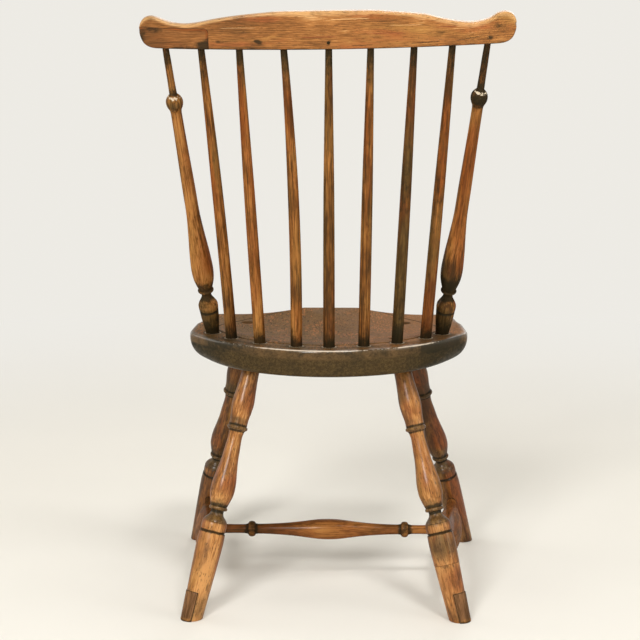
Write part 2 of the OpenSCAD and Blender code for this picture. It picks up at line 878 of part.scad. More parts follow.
module side_stretcher(side) {
    color(LEG)
        difference() {
            on_side(side)
                turned(side_marks(side));
            along(side_mid(side), side_mid(-side))
                translate([0, 0, centre_in - fit_gap])
                    cylinder(r = stretcher_end_r + fit_gap, h = reach);
        }
}

module stretcher_centre() {
    color(DARK)
        along((side_mid(left) + side_mid(right)) / 2, side_mid(left))
            turned(centre_marks());
}

seat();
crest_rail();
crest_patch();
stile(left);  // stile_left
stile(right);  // stile_right
for (i = [1:7])
    spindle(i - 1);
leg_rear_left();
leg_rear_right();
color(LEG) trimmed_leg(false, left);  // leg_front_left
color(LEG) trimmed_leg(false, right);  // leg_front_right
foot_tip_right();
foot_patch(left);  // foot_patch_left
foot_patch(right);  // foot_patch_right
side_stretcher(left);  // stretcher_left
side_stretcher(right);  // stretcher_right
stretcher_centre();
leg_wedges();
stile_wedges();
crest_pegs();
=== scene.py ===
import bpy
import numpy as np
from bpy.props import FloatProperty, FloatVectorProperty, IntProperty, PointerProperty
from bpy.types import Operator, Panel, PropertyGroup
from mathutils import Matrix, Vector


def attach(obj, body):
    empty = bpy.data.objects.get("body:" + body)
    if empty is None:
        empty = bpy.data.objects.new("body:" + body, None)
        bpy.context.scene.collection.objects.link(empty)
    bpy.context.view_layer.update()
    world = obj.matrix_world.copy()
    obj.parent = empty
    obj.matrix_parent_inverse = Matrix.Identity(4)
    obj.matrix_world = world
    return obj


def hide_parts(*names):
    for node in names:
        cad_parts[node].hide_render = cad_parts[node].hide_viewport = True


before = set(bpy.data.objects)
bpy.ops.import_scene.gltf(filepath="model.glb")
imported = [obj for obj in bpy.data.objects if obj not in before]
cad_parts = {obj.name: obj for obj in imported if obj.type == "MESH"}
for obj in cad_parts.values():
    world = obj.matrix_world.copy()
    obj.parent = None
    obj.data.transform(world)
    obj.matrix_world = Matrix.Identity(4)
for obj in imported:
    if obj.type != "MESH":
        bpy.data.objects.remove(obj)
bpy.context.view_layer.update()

bl_info = {
    "name": "Fan Back Windsor Chair",
    "version": (1, 0, 0),
    "blender": (4, 5, 0),
    "location": "View3D > Sidebar > Chair",
    "description": "Dresses the packed frame of a fan back Windsor chair in old varnished wood",
    "category": "Add Mesh",
}

LEFT, RIGHT = 1, -1
SIDES = (("left", LEFT), ("right", RIGHT))

# Sizes of the frame in millimetres, which the dressed pieces share with the solids
SEAT_H, SEAT_T = 424.0, 42.0
SEAT_W, SEAT_FRONT_W, SEAT_FRONT_Y = 441.0, 414.0, -218.0
SEAT_INSET, SEAT_BEVEL, SEAT_SHIFT = 32.0, 2.5, 2.0
UNDER_REAR, UNDER_SIDE = 7.0, 33.0
BOW_Y, BOW_A, BOW_B = 141.0, 240.0, 333.0
SEAT_BOTTOM = SEAT_H - SEAT_T
SCOOP_LOW, SCOOP_TURN = (127.0, -132.0), np.radians(22)
SCOOP_ACROSS_R, SCOOP_ALONG_R, SCOOP_DEPTH = 430.0, 1650.0, 13.5
HOLLOW_R, HOLLOW_Y, HOLLOW_DEPTH = 900.0, -5.0, 8.0
SCOOP_JOIN, HOLLOW_JOIN, DECK_JOIN = 3.0, 5.0, 1.2
GUTTER_BOW_R, GUTTER_GAP, GUTTER_R, GUTTER_DEPTH = 181.0, 13.0, 3.0, 1.6
GUTTER_Y, GUTTER_END = BOW_Y - GUTTER_GAP - GUTTER_BOW_R, 1.0
CREST_Y, CREST_Z, CREST_R = 274.0, 877.0, 1200.0
CREST_LEAN, CREST_TILT = np.radians(10.3), np.radians(0.82)
CREST_W, CREST_SHIFT, CREST_H, CREST_T, CREST_TOP_T = 538.0, 4.0, 54.6, 18.0, 12.5
LEFT_DIP, RIGHT_DIP = 34.8, 32.2
SPINDLE_X = [149, 102.5, 45.5, -4.5, -57.5, -109, -154.5]
SPINDLE_TOP_X = [177, 122, 58.5, -5.5, -65, -126.8, -181.5]
SPINDLE_BOW = [2, 0, 5, 0, 0, 0, 0]
STILE_X, STILE_TOP_X, STILE_TOP_SHIFT, STILE_FORWARD = 181.5, 230.5, 1.6, 2.0
# Feet and heads of a pair of legs, and how far the feet and the heads lie to the right of even
REAR_LEG = ((207.5, 171.0), (116.5, 73.0), (0.0, 0.0))
FRONT_LEG = ((233.0, -259.0), (137.5, -149.0), (3.3, -4.2))
LEGS = (("rear_left", REAR_LEG, LEFT), ("rear_right", REAR_LEG, RIGHT),
        ("front_left", FRONT_LEG, LEFT), ("front_right", FRONT_LEG, RIGHT))
STRETCHER_H = 82.0
PATCH_X, PATCH_H, PATCH_T, PATCH_CORNER = 165.0, 30.0, 5.0, 6.0
FOOT_PATCH_H, FOOT_PATCH_IN, FOOT_PATCH_TURN = 42.0, 2.0, np.radians(12)
TIP_H = 88.0
PEG_R, PEG_Z = 2.7, 10.0


def mix(a, b, t):
    return a + (b - a) * t


def ease(x, lo, hi):
    """Smooth step of x from 0 at lo to 1 at hi: 3 t^2 - 2 t^3."""
    t = np.clip((x - lo) / (hi - lo), 0, 1)
    return t * t * (3 - 2 * t)


def soft_max(a, b, k):
    """The larger of a and b, with the corner between them rounded over a width k."""
    h = np.clip(0.5 + 0.5 * (a - b) / k, 0, 1)
    return mix(b, a, h) + k * h * (1 - h)


def bell(x, at, half):
    """A bell over x: exp(-t^2), where t is the distance from its middle in half widths."""
    return np.exp(-((x - at) / half) ** 2)


def unit(v):
    return v / np.linalg.norm(v, axis=-1, keepdims=True)


def line_length(line):
    return np.linalg.norm(line[1] - line[0])


def rounded(marks, n):
    """Catmull-Rom pieces of n points each through marks, which have one mark more at either end."""
    a, b, c, d = marks[:-3], marks[1:-2], marks[2:-1], marks[3:]
    t = (np.arange(n) / n)[:, None, None]
    curve = b + (c - a) * t / 2 + (2 * a - 5 * b + 4 * c - d) * t ** 2 / 2 \
        + (3 * b - a - 3 * c + d) * t ** 3 / 2
    return np.vstack([curve.transpose(1, 0, 2).reshape(-1, 2), marks[-2:-1]])


# Frame curves


def bow(x, inset=0.0):
    """Y of the row of spindles: an ellipse about the middle, moved back by an inset."""
    return BOW_Y + inset - (BOW_B + inset) * (1 - np.sqrt(1 - (x / (BOW_A + inset)) ** 2))


def from_rail(x, y, z):
    """Stands the rail's own x along, y backward and z up its face: tilt about Y, lean about X, shift."""
    across = x * np.cos(CREST_TILT) + z * np.sin(CREST_TILT)
    up = z * np.cos(CREST_TILT) - x * np.sin(CREST_TILT)
    return np.stack(np.broadcast_arrays(
        across,
        CREST_Y + y * np.cos(CREST_LEAN) + up * np.sin(CREST_LEAN),
        CREST_Z + up * np.cos(CREST_LEAN) - y * np.sin(CREST_LEAN)), -1)


def rail_y(x, depth):
    """Y in the rail's frame at a depth below its back face: a circle of radius CREST_R - depth."""
    return np.sqrt((CREST_R - depth) ** 2 - x * x) - CREST_R


def stick(x, top_x, forward=0.0):
    """The middle line of a spindle or post, from the deck to the rail's lower face."""
    foot = np.array([x, bow(x), SEAT_H])
    head = from_rail(top_x, rail_y(top_x, 0.0) - CREST_T / 2 - forward, 0.0)
    return foot, head


def post_line(side):
    """The middle line of a post, whose top lies a little to the right of even."""
    return stick(side * STILE_X, side * STILE_TOP_X - STILE_TOP_SHIFT, STILE_FORWARD)


def leg_line(leg, side):
    """The middle line of a leg, from the floor to the underside of the seat."""
    (fx, fy), (tx, ty), (foot_off, top_off) = leg
    return np.array([side * fx - foot_off, fy, 0.0]), np.array([side * tx - top_off, ty, SEAT_BOTTOM])


def leg_at(leg, side, z):
    foot, head = leg_line(leg, side)
    return mix(foot, head, z / SEAT_BOTTOM)


def scoop(x, y, side):
    """Depth of one saddle scoop below the deck: a torus with a long and a short radius, turned about Z."""
    dx, dy = x - side * SCOOP_LOW[0] + SEAT_SHIFT, y - SCOOP_LOW[1]
    turn = side * SCOOP_TURN
    across = dx * np.cos(turn) + dy * np.sin(turn)
    along = dy * np.cos(turn) - dx * np.sin(turn)
    reach = SCOOP_ALONG_R - SCOOP_ACROSS_R + np.sqrt(SCOOP_ACROSS_R ** 2 - np.clip(across, -300, 300) ** 2)
    return SCOOP_DEPTH - SCOOP_ALONG_R + np.sqrt(reach ** 2 - along ** 2)


def gutter_off(x, y):
    """Distance in plan outside the arc that the gutter follows."""
    return np.hypot(x, y - GUTTER_Y) - GUTTER_BOW_R


def deck(x, y):
    """Height of the seat's top: the deck less two scoops and a hollow, softly joined, and the gutter.

    The gutter is a round groove, and it fades out past its ends and where the saddle begins.
    """
    pit = np.sqrt(HOLLOW_R ** 2 - (x + SEAT_SHIFT) ** 2 - (y - HOLLOW_Y) ** 2) - HOLLOW_R + HOLLOW_DEPTH
    depth = soft_max(soft_max(scoop(x, y, LEFT), scoop(x, y, RIGHT), SCOOP_JOIN), pit, HOLLOW_JOIN)
    depth = soft_max(depth, 0 * depth, DECK_JOIN)
    groove = np.sqrt(np.clip(GUTTER_R ** 2 - gutter_off(x, y) ** 2, 0, None)) - GUTTER_R + GUTTER_DEPTH
    fade = 1 - ease(np.abs(np.arctan2(x, y - GUTTER_Y)), GUTTER_END - 0.02, GUTTER_END + 0.02)
    return SEAT_H - depth - np.clip(groove, 0, None) * fade * ease(SEAT_H - depth, SEAT_H - 2.5, SEAT_H - 1.0)


# Turning profiles: rows of station and radius


def swell(marks, n=8):
    """A smooth stretch of a turning: cubic Hermite pieces through the marks, with chord slopes."""
    p = np.array(marks, float)
    s, r = p[:, 0], p[:, 1]
    before = np.r_[0, np.arange(len(p) - 1)]
    after = np.r_[np.arange(1, len(p)), len(p) - 1]
    m = (r[after] - r[before]) / (s[after] - s[before])
    t = (np.arange(n) / n)[None]
    w = np.diff(s)[:, None]
    radius = (r[:-1, None] * (2 * t ** 3 - 3 * t ** 2 + 1) + r[1:, None] * (3 * t ** 2 - 2 * t ** 3)
              + m[:-1, None] * w * (t ** 3 - 2 * t ** 2 + t) + m[1:, None] * w * (t ** 3 - t ** 2))
    rows = np.stack([(s[:-1, None] + t * w).ravel(), radius.ravel()], 1)
    return np.vstack([rows, p[-1:]])


def bead(middle, half, r_end, r_mid, n=8):
    """Half a ball, bead or ring: a sine and cosine arc between two equal end radii."""
    a = np.linspace(-np.pi / 2, np.pi / 2, 2 * n + 1)
    return np.stack([middle + half * np.sin(a), r_end + (r_mid - r_end) * np.cos(a)], 1)


def leg_profile(length):
    return np.vstack([
        swell([[-12, 15.7], [0, 16.1], [30, 17.3], [61, 18.6], [93, 19.9], [122, 20.7], [136.4, 20.1]], 12),
        [[137.1, 19.0], [138, 18.2], [138.8, 18.7]],
        swell([[139.6, 19.4], [147, 19.8], [152.6, 19.4]]),
        [[153.1, 19.0], [153.4, 18.7], [153.7, 18.9]],
        swell([[154.2, 19.1], [158, 16.9], [161.5, 13.7], [164.5, 11.3], [168, 10], [171.8, 9.8]]),
        bead(175.5, 2.6, 12.6, 14.4),
        swell([[179, 13.2], [184, 14.7], [190, 16.5], [198, 18.4], [208, 18.9], [219, 18.3], [232, 16.3],
               [252, 13.4], [268, 12.3], [284, 11], [291, 10.9], [298.5, 12]]),
        bead(304, 2.8, 14, 16.1),
        swell([[307.8, 14.2], [318, 14.4], [330, 16], [344, 17.1], [364, 15.5], [380, 14.2], [length, 13.1]]),
        [[length * SEAT_H / SEAT_BOTTOM, 9.8], [length * SEAT_H / SEAT_BOTTOM + 12, 9.2]],
    ])


def post_profile(length, ball):
    return np.vstack([
        swell([[-52, 8.6], [0, 10.3], [10, 11.4], [25, 13.2], [45, 14.8]]),
        [[45.6, 14.4], [46.2, 14.1], [46.8, 14.4]],
        swell([[47.4, 14.9], [51.5, 15.3], [56.5, 15.1], [61, 13.4], [66, 10.6], [70.5, 8.3], [75.5, 7.4],
               [80, 7.9]]),
        bead(83, 2.4, 10.4, 12.4),
        swell([[86.2, 10.5], [94, 13], [104, 15.5], [114, 16.7], [125, 17], [139, 16.4], [158, 15.2],
               [176, 13.6], [195, 12.1], [213, 10.8], [231, 10.1], [266, 9.9], [301, 9.4], [336, 8.8],
               [370, 8.3]]),
        swell([[ball - 18, 8.1], [ball - 13, 8.7], [ball - 8, 10.9], [ball - 4, 12.2], [ball, 12.6],
               [ball + 4, 12.1], [ball + 8, 10.3], [ball + 11.5, 7.4], [ball + 13.5, 5.6]]),
        swell([[mix(ball, length, 0.4), 5.2], [mix(ball, length, 0.72), 5], [length, 4.6]]),
        [[length + 12, 4.6]],
    ])


def spindle_profile(length):
    return np.vstack([
        [[-12, 8.8]],
        swell(np.array([[0, 8.8], [0.26, 8.7], [0.52, 8.1], [0.65, 7.4], [0.75, 6.7], [0.85, 6], [0.93, 5.4],
                        [1, 4.9]]) * [length, 1], 12),
        [[length + 12, 4.9]],
    ])


def side_profile(length):
    n = length
    return np.vstack([
        [[4, 7.4]],
        swell([[24, 7.4], [44, 8.4], [70, 10.6], [100, 14.4], [130, 17.6], [160, 19.7], [n / 2, 20.5],
               [n - 160, 19.7], [n - 130, 17.6], [n - 100, 14.4], [n - 70, 10.6], [n - 44, 8.4],
               [n - 24, 7.4]]),
        [[n - 4, 7.4]],
    ])


def centre_profile(length):
    half = length / 2
    out = np.vstack([
        swell([[0, 16.8], [16, 16.2], [32, 14.3], [48, 12.3], [66, 10.4], [90, 8.8], [114, 8.1],
               [119.5, 8.8]]),
        bead(126, 5.2, 10.4, 12.8),
        swell([[132.5, 8.6], [138, 7.4], [half - 30, 7.4]]),
        [[half - 6, 7.4]],
    ])
    both = np.vstack([out[:0:-1] * [-1, 1], out])
    return both + [half, 0]


def hollows(profile):
    """How deep a turning lies below, and how far above, its own radius averaged over 12 mm, as 0 to 1."""
    s, r = profile[:, 0], profile[:, 1]
    even = np.arange(s[0], s[-1], 0.5)
    kernel = np.hanning(49)
    padded = np.pad(np.interp(even, s, r), 24, mode="edge")
    level = np.interp(s, even, np.convolve(padded, kernel / kernel.sum(), "valid"))
    return np.clip((level - r) / 2.2, 0, 0.85), np.clip((r - level) / 1.4, 0, 1)


# Meshes


def build_mesh(name, verts, faces, fields, crease=40):
    """A mesh object from points in millimetres, smooth except over edges sharper than crease degrees.

    faces is a list of arrays, each with its own number of corners. fields has a value or vector per point.
    """
    mesh = bpy.data.meshes.new(name)
    sizes = np.concatenate([np.full(len(block), block.shape[1]) for block in faces])
    corners = np.concatenate([block.ravel() for block in faces])
    mesh.vertices.add(len(verts))
    mesh.vertices.foreach_set("co", np.ascontiguousarray(verts * 0.001, np.float32).ravel())
    mesh.loops.add(len(corners))
    mesh.loops.foreach_set("vertex_index", corners.astype(np.int32))
    mesh.polygons.add(len(sizes))
    mesh.polygons.foreach_set("loop_start", np.r_[0, np.cumsum(sizes)[:-1]].astype(np.int32))
    mesh.polygons.foreach_set("use_smooth", np.ones(len(sizes), bool))
    mesh.update(calc_edges=True)
    mesh.validate()
    mesh.set_sharp_from_angle(angle=np.radians(crease))
    for key, values in fields.items():
        kind, part = ("FLOAT_VECTOR", "vector") if values.ndim == 2 else ("FLOAT", "value")
        layer = mesh.attributes.new(key, kind, "POINT")
        layer.data.foreach_set(part, np.ascontiguousarray(values, np.float32).ravel())
    piece = bpy.data.objects.new(name, mesh)
    bpy.context.scene.collection.objects.link(piece)
    return piece


def tube(name, rings, fields, poles=None, crease=40):
    """A closed skin over rings of points, an array of rings by points by 3, with a pole at each end.

    Rings run along the piece and points anticlockwise about its direction, so that faces look outwards. A
    pole lies in the middle of its end ring, unless it is given, and has the mean of that ring's fields.
    """
    m, n = rings.shape[:2]
    poles = rings[[0, -1]].mean(1) if poles is None else poles
    at = np.arange(m * n).reshape(m, n)
    a, b = at[:-1], at[1:]
    quads = np.stack([a, np.roll(a, -1, 1), np.roll(b, -1, 1), b], -1).reshape(-1, 4)
    start = np.stack([np.full(n, m * n), np.roll(at[0], -1), at[0]], -1)
    finish = np.stack([np.full(n, m * n + 1), at[-1], np.roll(at[-1], -1)], -1)
    filled = {}
    for key, values in fields.items():
        flat = values.reshape(m * n, -1)
        both = np.vstack([flat, flat[:n].mean(0), flat[-n:].mean(0)])
        filled[key] = both if values.ndim == 3 else both[:, 0]
    return build_mesh(name, np.vstack([rings.reshape(-1, 3), poles]), [quads, start, finish], filled, crease)


def marked(field, marks, s):
    """The field with a bell added for each mark, which is a station, a half width and a strength."""
    for at, half, strength in marks:
        field = field + strength * bell(s, at, half)
    return field


def facing(marks, s, phi):
    """Sum of marks: a bell along the line at each station, and round it a raised cosine from its side."""
    total = np.zeros_like(s)
    for at, half, side, strength in marks:
        total = total + strength * (0.5 + 0.5 * np.cos(phi - np.radians(side))) ** 1.5 * bell(s, at, half)
    return np.clip(total, -1, 1)


# How far from a cut end its stations are drawn along, and the depth and frequency of the tool marks
CUT_REACH, TOOL_MARK, TOOL_WAVE = 25.0, 0.035, 2.1


def lathe(name, line, profile, seed, around=72, sag=0.0, start=None, finish=None, tone=0.5, dark=(), light=(),
          tints=(), flecks_and_highlights=(), dull_end=False, arris=0.0, span=None):
    """A turned piece on a middle line: radius by station, carried round the line in a circle.

    The radius is a little out of round, by cos of twice and three times the angle, and its tool marks are a
    fine wave along the line. start and finish are functions of place that give the height at which an end is
    cut, and the stations near a cut end are drawn toward the cut. dark and light list a station, a half
    width and a strength for grime and wear. tints list a station, a half width, a side of the piece in
    degrees from its left round by its rear, and a strength, above 0 for red varnish and below it for olive.
    flecks list pale specks in the same way, which on the balls' shoulders are partly a painted highlight, and
    dull_end leaves the last end face dry and dull.
    """
    foot, head = line
    d = unit(head - foot)
    e1 = unit(np.cross([0.0, 1.0, 0.0], d))
    e2 = np.cross(d, e1)
    phi = np.linspace(0, 2 * np.pi, around, endpoint=False)[None]
    e = e1 * np.cos(phi)[..., None] + e2 * np.sin(phi)[..., None]
    lo, hi = span or (profile[0, 0], profile[-1, 0])
    keep = (profile[:, 0] > lo + 0.2) & (profile[:, 0] < hi - 0.2)
    s = np.r_[lo, profile[keep, 0], hi]
    if len(s) < 60:
        s = np.r_[(s[:-1, None] + np.diff(s)[:, None] * np.arange(3) / 3).ravel(), hi]
    broken = bool(start or arris)
    if broken:                                      # two more rings close to the first end
        s = np.r_[lo + np.array([0.0, 0.35, 1.0]), s[s > lo + 1.2]]
    s = np.repeat(s[:, None], around, 1)
    trim = np.zeros_like(s)
    if broken:
        trim[:2] = np.array([[1.0], [0.35]]) * max(arris, 0.3)

    def cut(s, height, end):
        anchor = hi - CUT_REACH if end else lo + CUT_REACH
        goal = s[end]
        for _ in range(6):
            r = np.interp(goal, *profile.T) - trim[end]
            p = foot + d * goal[:, None] + e[0] * r[:, None]
            goal = goal + (height(p[:, 0], p[:, 1]) - p[:, 2]) / d[2]
        share = (s - anchor) / (s[end] - anchor)
        return np.where(share > 0, anchor + share * (goal - anchor), s)

    if start:
        s = cut(s, start, 0)
    if finish:
        s = cut(s, finish, -1)
    oval = np.cos(2 * phi + seed) + 0.6 * np.cos(3 * phi + 2.3 * seed + s / 90)
    r = np.interp(s, *profile.T) * (1 + bpy.context.scene.chair_shape.out_of_round * oval) \
        + TOOL_MARK * np.sin(s * TOOL_WAVE + 3 * np.sin(phi + seed)) - trim
    t = np.clip(s / line_length(line), 0, 1)
    bent = (d * d[0] - [1.0, 0.0, 0.0]) * (4 * sag * t * (1 - t))[..., None]
    points = foot + d * s[..., None] + bent + e * r[..., None]
    points[..., 2] = np.maximum(points[..., 2], 0.0)
    deep, high = (np.interp(s, profile[:, 0], v) for v in hollows(profile))
    dull = np.zeros_like(s)
    dull[-1] = dull_end
    grain = np.stack([r * np.cos(phi), r * np.sin(phi), s], -1) * 0.001
    fields = {
        "grain": grain + np.array([0.31, 0.17, 0.53]) * seed,
        "grime": np.clip(marked(deep, dark, s), 0, 1), "worn": np.clip(marked(high, light, s), 0, 1),
        # The tone also falls by cos^4 of the angle toward each side of the piece: painted shade along its
        # edges.
        "tone": (tone(s, phi) if callable(tone) else np.full(s.shape, tone)) - 0.13 * np.cos(phi) ** 4,
        "tint": facing(tints, s, phi), "fleck": facing(flecks_and_highlights, s, phi), "dull": dull}
    return tube(name, points, fields)


def dress(piece, kind, slot, *nodes):
    """Gives a piece its material and its body, and hides the frame's parts for the nodes that it stands for;
    slot is not used.
    """
    piece.data.materials.append(finish_of(kind))
    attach(piece, "root")
    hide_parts(*nodes)


# Shading


class Wire:
    """A node tree's socket. Python's operators on it add Math nodes, and node() adds any other node."""

    def __init__(self, tree, socket=None):
        self.tree, self.socket = tree, socket

    def node(self, kind, settings=None, inputs=None, output=0):
        made = self.tree.nodes.new(kind)
        for key, value in (settings or {}).items():
            if key == "stops":
                ramp = made.color_ramp
                while len(ramp.elements) < len(value):
                    ramp.elements.new(0.5)
                for element, (at, shade) in zip(ramp.elements, value):
                    element.position, element.color = at, (*shade, 1)
            else:
                setattr(made, key, value)
        for key, value in (inputs or {}).items():
            if isinstance(value, Wire):
                self.tree.links.new(value.socket, made.inputs[key])
            else:
                made.inputs[key].default_value = value
        return Wire(self.tree, made.outputs[output] if made.outputs else None)

    def other(self, output):
        """Another output of the same node."""
        return Wire(self.tree, self.socket.node.outputs[output])

    def maths(self, operation, *values):
        return self.node("ShaderNodeMath", {"operation": operation}, dict(enumerate(values)))

    def __add__(self, other):
        return self.maths("ADD", self, other)

    def __radd__(self, other):
        return self.maths("ADD", other, self)

    def __sub__(self, other):
        return self.maths("SUBTRACT", self, other)

    def __rsub__(self, other):
        return self.maths("SUBTRACT", other, self)

    def __mul__(self, other):
        return self.maths("MULTIPLY", self, other)

    def __rmul__(self, other):
        return self.maths("MULTIPLY", other, self)

    def __truediv__(self, other):
        return self.maths("DIVIDE", self, other)

    def __pow__(self, other):
        return self.maths("POWER", self, other)

    def __abs__(self):
        return self.maths("ABSOLUTE", self)

    def step(self, lo, hi, low=0.0, high=1.0):
        """A smooth step of the value from low at lo to high at hi."""
        return self.node("ShaderNodeMapRange", {"interpolation_type": "SMOOTHSTEP"},
                         {0: self, 1: lo, 2: hi, 3: low, 4: high})

    def blend(self, a, b):
        """The colours a and b, mixed by this value."""
        return self.node("ShaderNodeMix", {"data_type": "RGBA"}, {0: self, 6: colour(a), 7: colour(b)}, 2)


def colour(value):
    return value if isinstance(value, Wire) else (*value, 1.0)


def faded(value, share):
    """A colour with each channel multiplied by a share."""
    return tuple(channel * share for channel in value)


def new_material(name):
    """An empty material and the wire of its tree."""
    material = bpy.data.materials.new(name)
    material.use_nodes = True
    material.node_tree.nodes.clear()
    return material, Wire(material.node_tree)


def attribute(tree, name, output=2):
    """A field of the mesh, from the output for a vector, 1, or for a number, 2."""
    return tree.node("ShaderNodeAttribute", {"attribute_name": name}, None, output)


def vector_math(tree, operation, a, b=(0.0, 0.0, 0.0), output=0):
    return tree.node("ShaderNodeVectorMath", {"operation": operation}, {0: a, 1: b}, output)


def along_fibre(tree, grain, run):
    """The grain coordinates with the fibre's direction shortened, which draws patterns out along it."""
    return vector_math(tree, "MULTIPLY", grain, (1, 1, run))


def noise(tree, vector, scale, detail=3.0, rough=0.55, distortion=0.0):
    return tree.node("ShaderNodeTexNoise", None, {
        "Vector": vector, "Scale": scale, "Detail": detail, "Roughness": rough, "Distortion": distortion})


def old_varnish(name, dark, mid, light, bare, grime, gloss, ring=0.0026, pith=0.045, figure=1.0, casts=(),
                grain_size=270, red=(0.21, 0.056, 0.012), olive=(0.085, 0.052, 0.017), stain=0.5, dash=0.3,
                dash_size=620, dash_run=0.1, streak_run=0.055, scratch=0.5, coat=0.22, coat_rough=0.18,
                shine=0.0, extra=None):
    """Old varnished wood on a piece's own grain coordinates, whose third axis runs along the fibres.

    The base is a ramp of dark, mid, light and bare over fibre streaks, growth rings about a pith beside the
    piece and slow changes of tone. Casts tint it in patches, each with a colour, a frequency and a strength.
    Wear shows lighter bare wood on what stands proud, and on the rail's top and the seat's arris it also
    paints a highlight. Grime darkens what lies deep, and stains, short dark dashes along the fibres and
    scratches lie over it. The tint field lays red varnish where it is above 0 and olive where it is below.
    Roughness and bump follow the same masks, and grime dulls the coat. extra adds what only one kind of piece
    has.
    """
    material, tree = new_material(name)
    grain = attribute(tree, "grain", 1)
    grime_at, worn_at, tone, tint = (attribute(tree, key) for key in ("grime", "worn", "tone", "tint"))
    fibre = noise(tree, along_fibre(tree, grain, 0.03), 620, 3, 0.6)
    streak = noise(tree, along_fibre(tree, grain, streak_run), grain_size, 3, 0.62, 0.3)
    slow = noise(tree, along_fibre(tree, grain, 0.4), 34, 4, 0.6)
    parts = tree.node("ShaderNodeSeparateXYZ", None, {0: grain})
    x, y = parts, parts.other(1)
    warp = noise(tree, along_fibre(tree, grain, 0.12), 45, 2, 0.5)
    away = ((x + pith) * (x + pith) + (y + pith * 0.4) * (y + pith * 0.4)) ** 0.5 + warp * 0.004
    rings = tree.maths("FRACT", away / ring)
    late = rings.step(0.35, 0.95) - rings.step(0.95, 1.0)
    body = (fibre.step(0.36, 0.64) - 0.5) * (0.22 * figure)
    body = body + (streak.step(0.36, 0.64) - 0.5) * (0.34 * figure)
    body = body + (slow - 0.5) * 1.4 + tone - late * (0.14 * figure)
    stops = [(0.0, dark), (0.42, mid), (0.72, light), (1.0, bare)]
    base = tree.node("ShaderNodeValToRGB", {"stops": stops}, {0: body})
    for cast, size, amount in casts:
        patch = noise(tree, along_fibre(tree, grain, 0.22), size, 4, 0.6, 0.5)
        patch = (patch + (streak - 0.5) * 0.3).step(0.48, 0.62)
        base = (patch * amount).blend(base, cast)
    wander = (slow - 0.5) * 1.3 + (streak - 0.5) * 0.9
    lines = (streak * 0.6 + fibre * 0.4).step(0.38, 0.62)
    for way, cast in ((1.0, red), (-1.0, olive)):
        streaked = lines.blend(faded(cast, 0.5), faded(cast, 1.35))
        base = ((tint * way + wander * abs(tint)).step(0.12, 0.75) * 0.8).blend(base, streaked)
    rub = (worn_at * 0.9 + (slow - 0.5) * 1.2 + (streak - 0.5) * 0.8).step(0.38, 0.95)
    base = (rub * 0.6).blend(base, bare)
    blot = noise(tree, along_fibre(tree, grain, 0.5), 58, 5, 0.66, 0.8).step(0.52, 0.72)
    base = (blot * stain).blend(base, dark)
    dashes = noise(tree, along_fibre(tree, grain, dash_run), dash_size, 2, 0.55).step(0.57, 0.68)
    base = (dashes * dash).blend(base, faded(dark, 0.6))
    marks = noise(tree, along_fibre(tree, grain, 0.6), 290, 4, 0.7, 1.2).step(0.63, 0.70)
    base = (marks * scratch).blend(base, grime)
    crust = noise(tree, along_fibre(tree, grain, 0.6), 140, 5, 0.66)
    soil = (grime_at * 1.25 + (crust - 0.5) * 1.4).step(0.28, 0.88)
    base = (soil * 0.88).blend(base, grime)
    rough = gloss + (crust - 0.5) * 0.25 + soil * 0.14 + marks * 0.15 - rub * 0.04
    height = fibre * 0.3 + streak * 0.35 - dashes * 0.4 - marks * 0.6 + (crust - 0.5) * soil * 1.3
    height = height + slow * 0.9
    weight = (1 - soil * 0.6) * coat
    if extra:
        base, rough, height, weight = extra(tree, parts, base, rough, height, weight)
    bump = tree.node("ShaderNodeBump", None, {"Strength": 0.6, "Distance": 0.0004, "Height": height})
    shader = tree.node("ShaderNodeBsdfPrincipled", None, {
        "Base Color": base, "Roughness": rough, "Normal": bump, "Coat Weight": weight,
        "Coat Roughness": coat_rough, "Specular IOR Level": shine, "Specular Tint": (1.0, 0.86, 0.66, 1.0)})
    tree.node("ShaderNodeOutputMaterial", None, {0: shader})
    return material


def flecks_highlights_and_ends(tree, parts, base, rough, height, weight):
    """Pale specks, partly a painted highlight, where the fleck field is high, and dry dark end grain where
    the dull field is 1.
    """
    speck = noise(tree, attribute(tree, "grain", 1), 300, 3, 0.6)
    fleck_and_highlight_spot = (attribute(tree, "fleck") + (speck - 0.5) * 2.2).step(0.50, 0.75)
    base = (fleck_and_highlight_spot * 0.8).blend(base, (0.68, 0.57, 0.41))
    dull = attribute(tree, "dull")
    base = (dull * 0.85).blend(base, (0.105, 0.058, 0.027))
    return base, rough + dull * 0.35, height + fleck_and_highlight_spot * 0.6, weight * (1 - dull)


# Settings


def length_prop(name, description, default, low, high):
    return FloatProperty(name=name, description=description, default=default, min=low, max=high,
                         unit="LENGTH")


def colour_prop(name, description, default):
    return FloatVectorProperty(name=name, description=description, default=default, subtype="COLOR", size=3,
                               min=0, max=1)


class ChairShape(PropertyGroup):
    """Sizes of the dressed pieces that the frame leaves open."""

    rail_arris: length_prop("Rail arris", "Radius of the rail's worn edges", 0.0024, 0.0005, 0.004)
    seat_arris: length_prop("Seat arris", "Radius of the seat's worn top edge", 0.0042, 0.001, 0.005)
    proud: length_prop("Tenons proud", "How far shrinkage has left tenons standing out", 0.0003, 0.0, 0.001)
    out_of_round: FloatProperty(name="Out of round", default=0.006, min=0.0, max=0.02,
                                description="Share by which turned pieces have gone oval")
    around: IntProperty(name="Sides", description="Points round a leg", default=80, min=24, max=160)


class ChairFinish(PropertyGroup):
    """Colours of the old finish."""

    honey: colour_prop("Honey", "Bare wood where the finish has worn", (0.50, 0.235, 0.065))
    amber: colour_prop("Amber", "Clear varnish on light wood", (0.33, 0.130, 0.033))
    brown: colour_prop("Brown", "Varnish on turned wood", (0.19, 0.070, 0.016))
    umber: colour_prop("Umber", "Darkened varnish", (0.070, 0.031, 0.010))
    soot: colour_prop("Soot", "Old residue in hollows and at joints", (0.020, 0.017, 0.009))
    gloss: FloatProperty(name="Roughness", description="Roughness of clean varnish", default=0.33, min=0.05,
                         max=0.9)


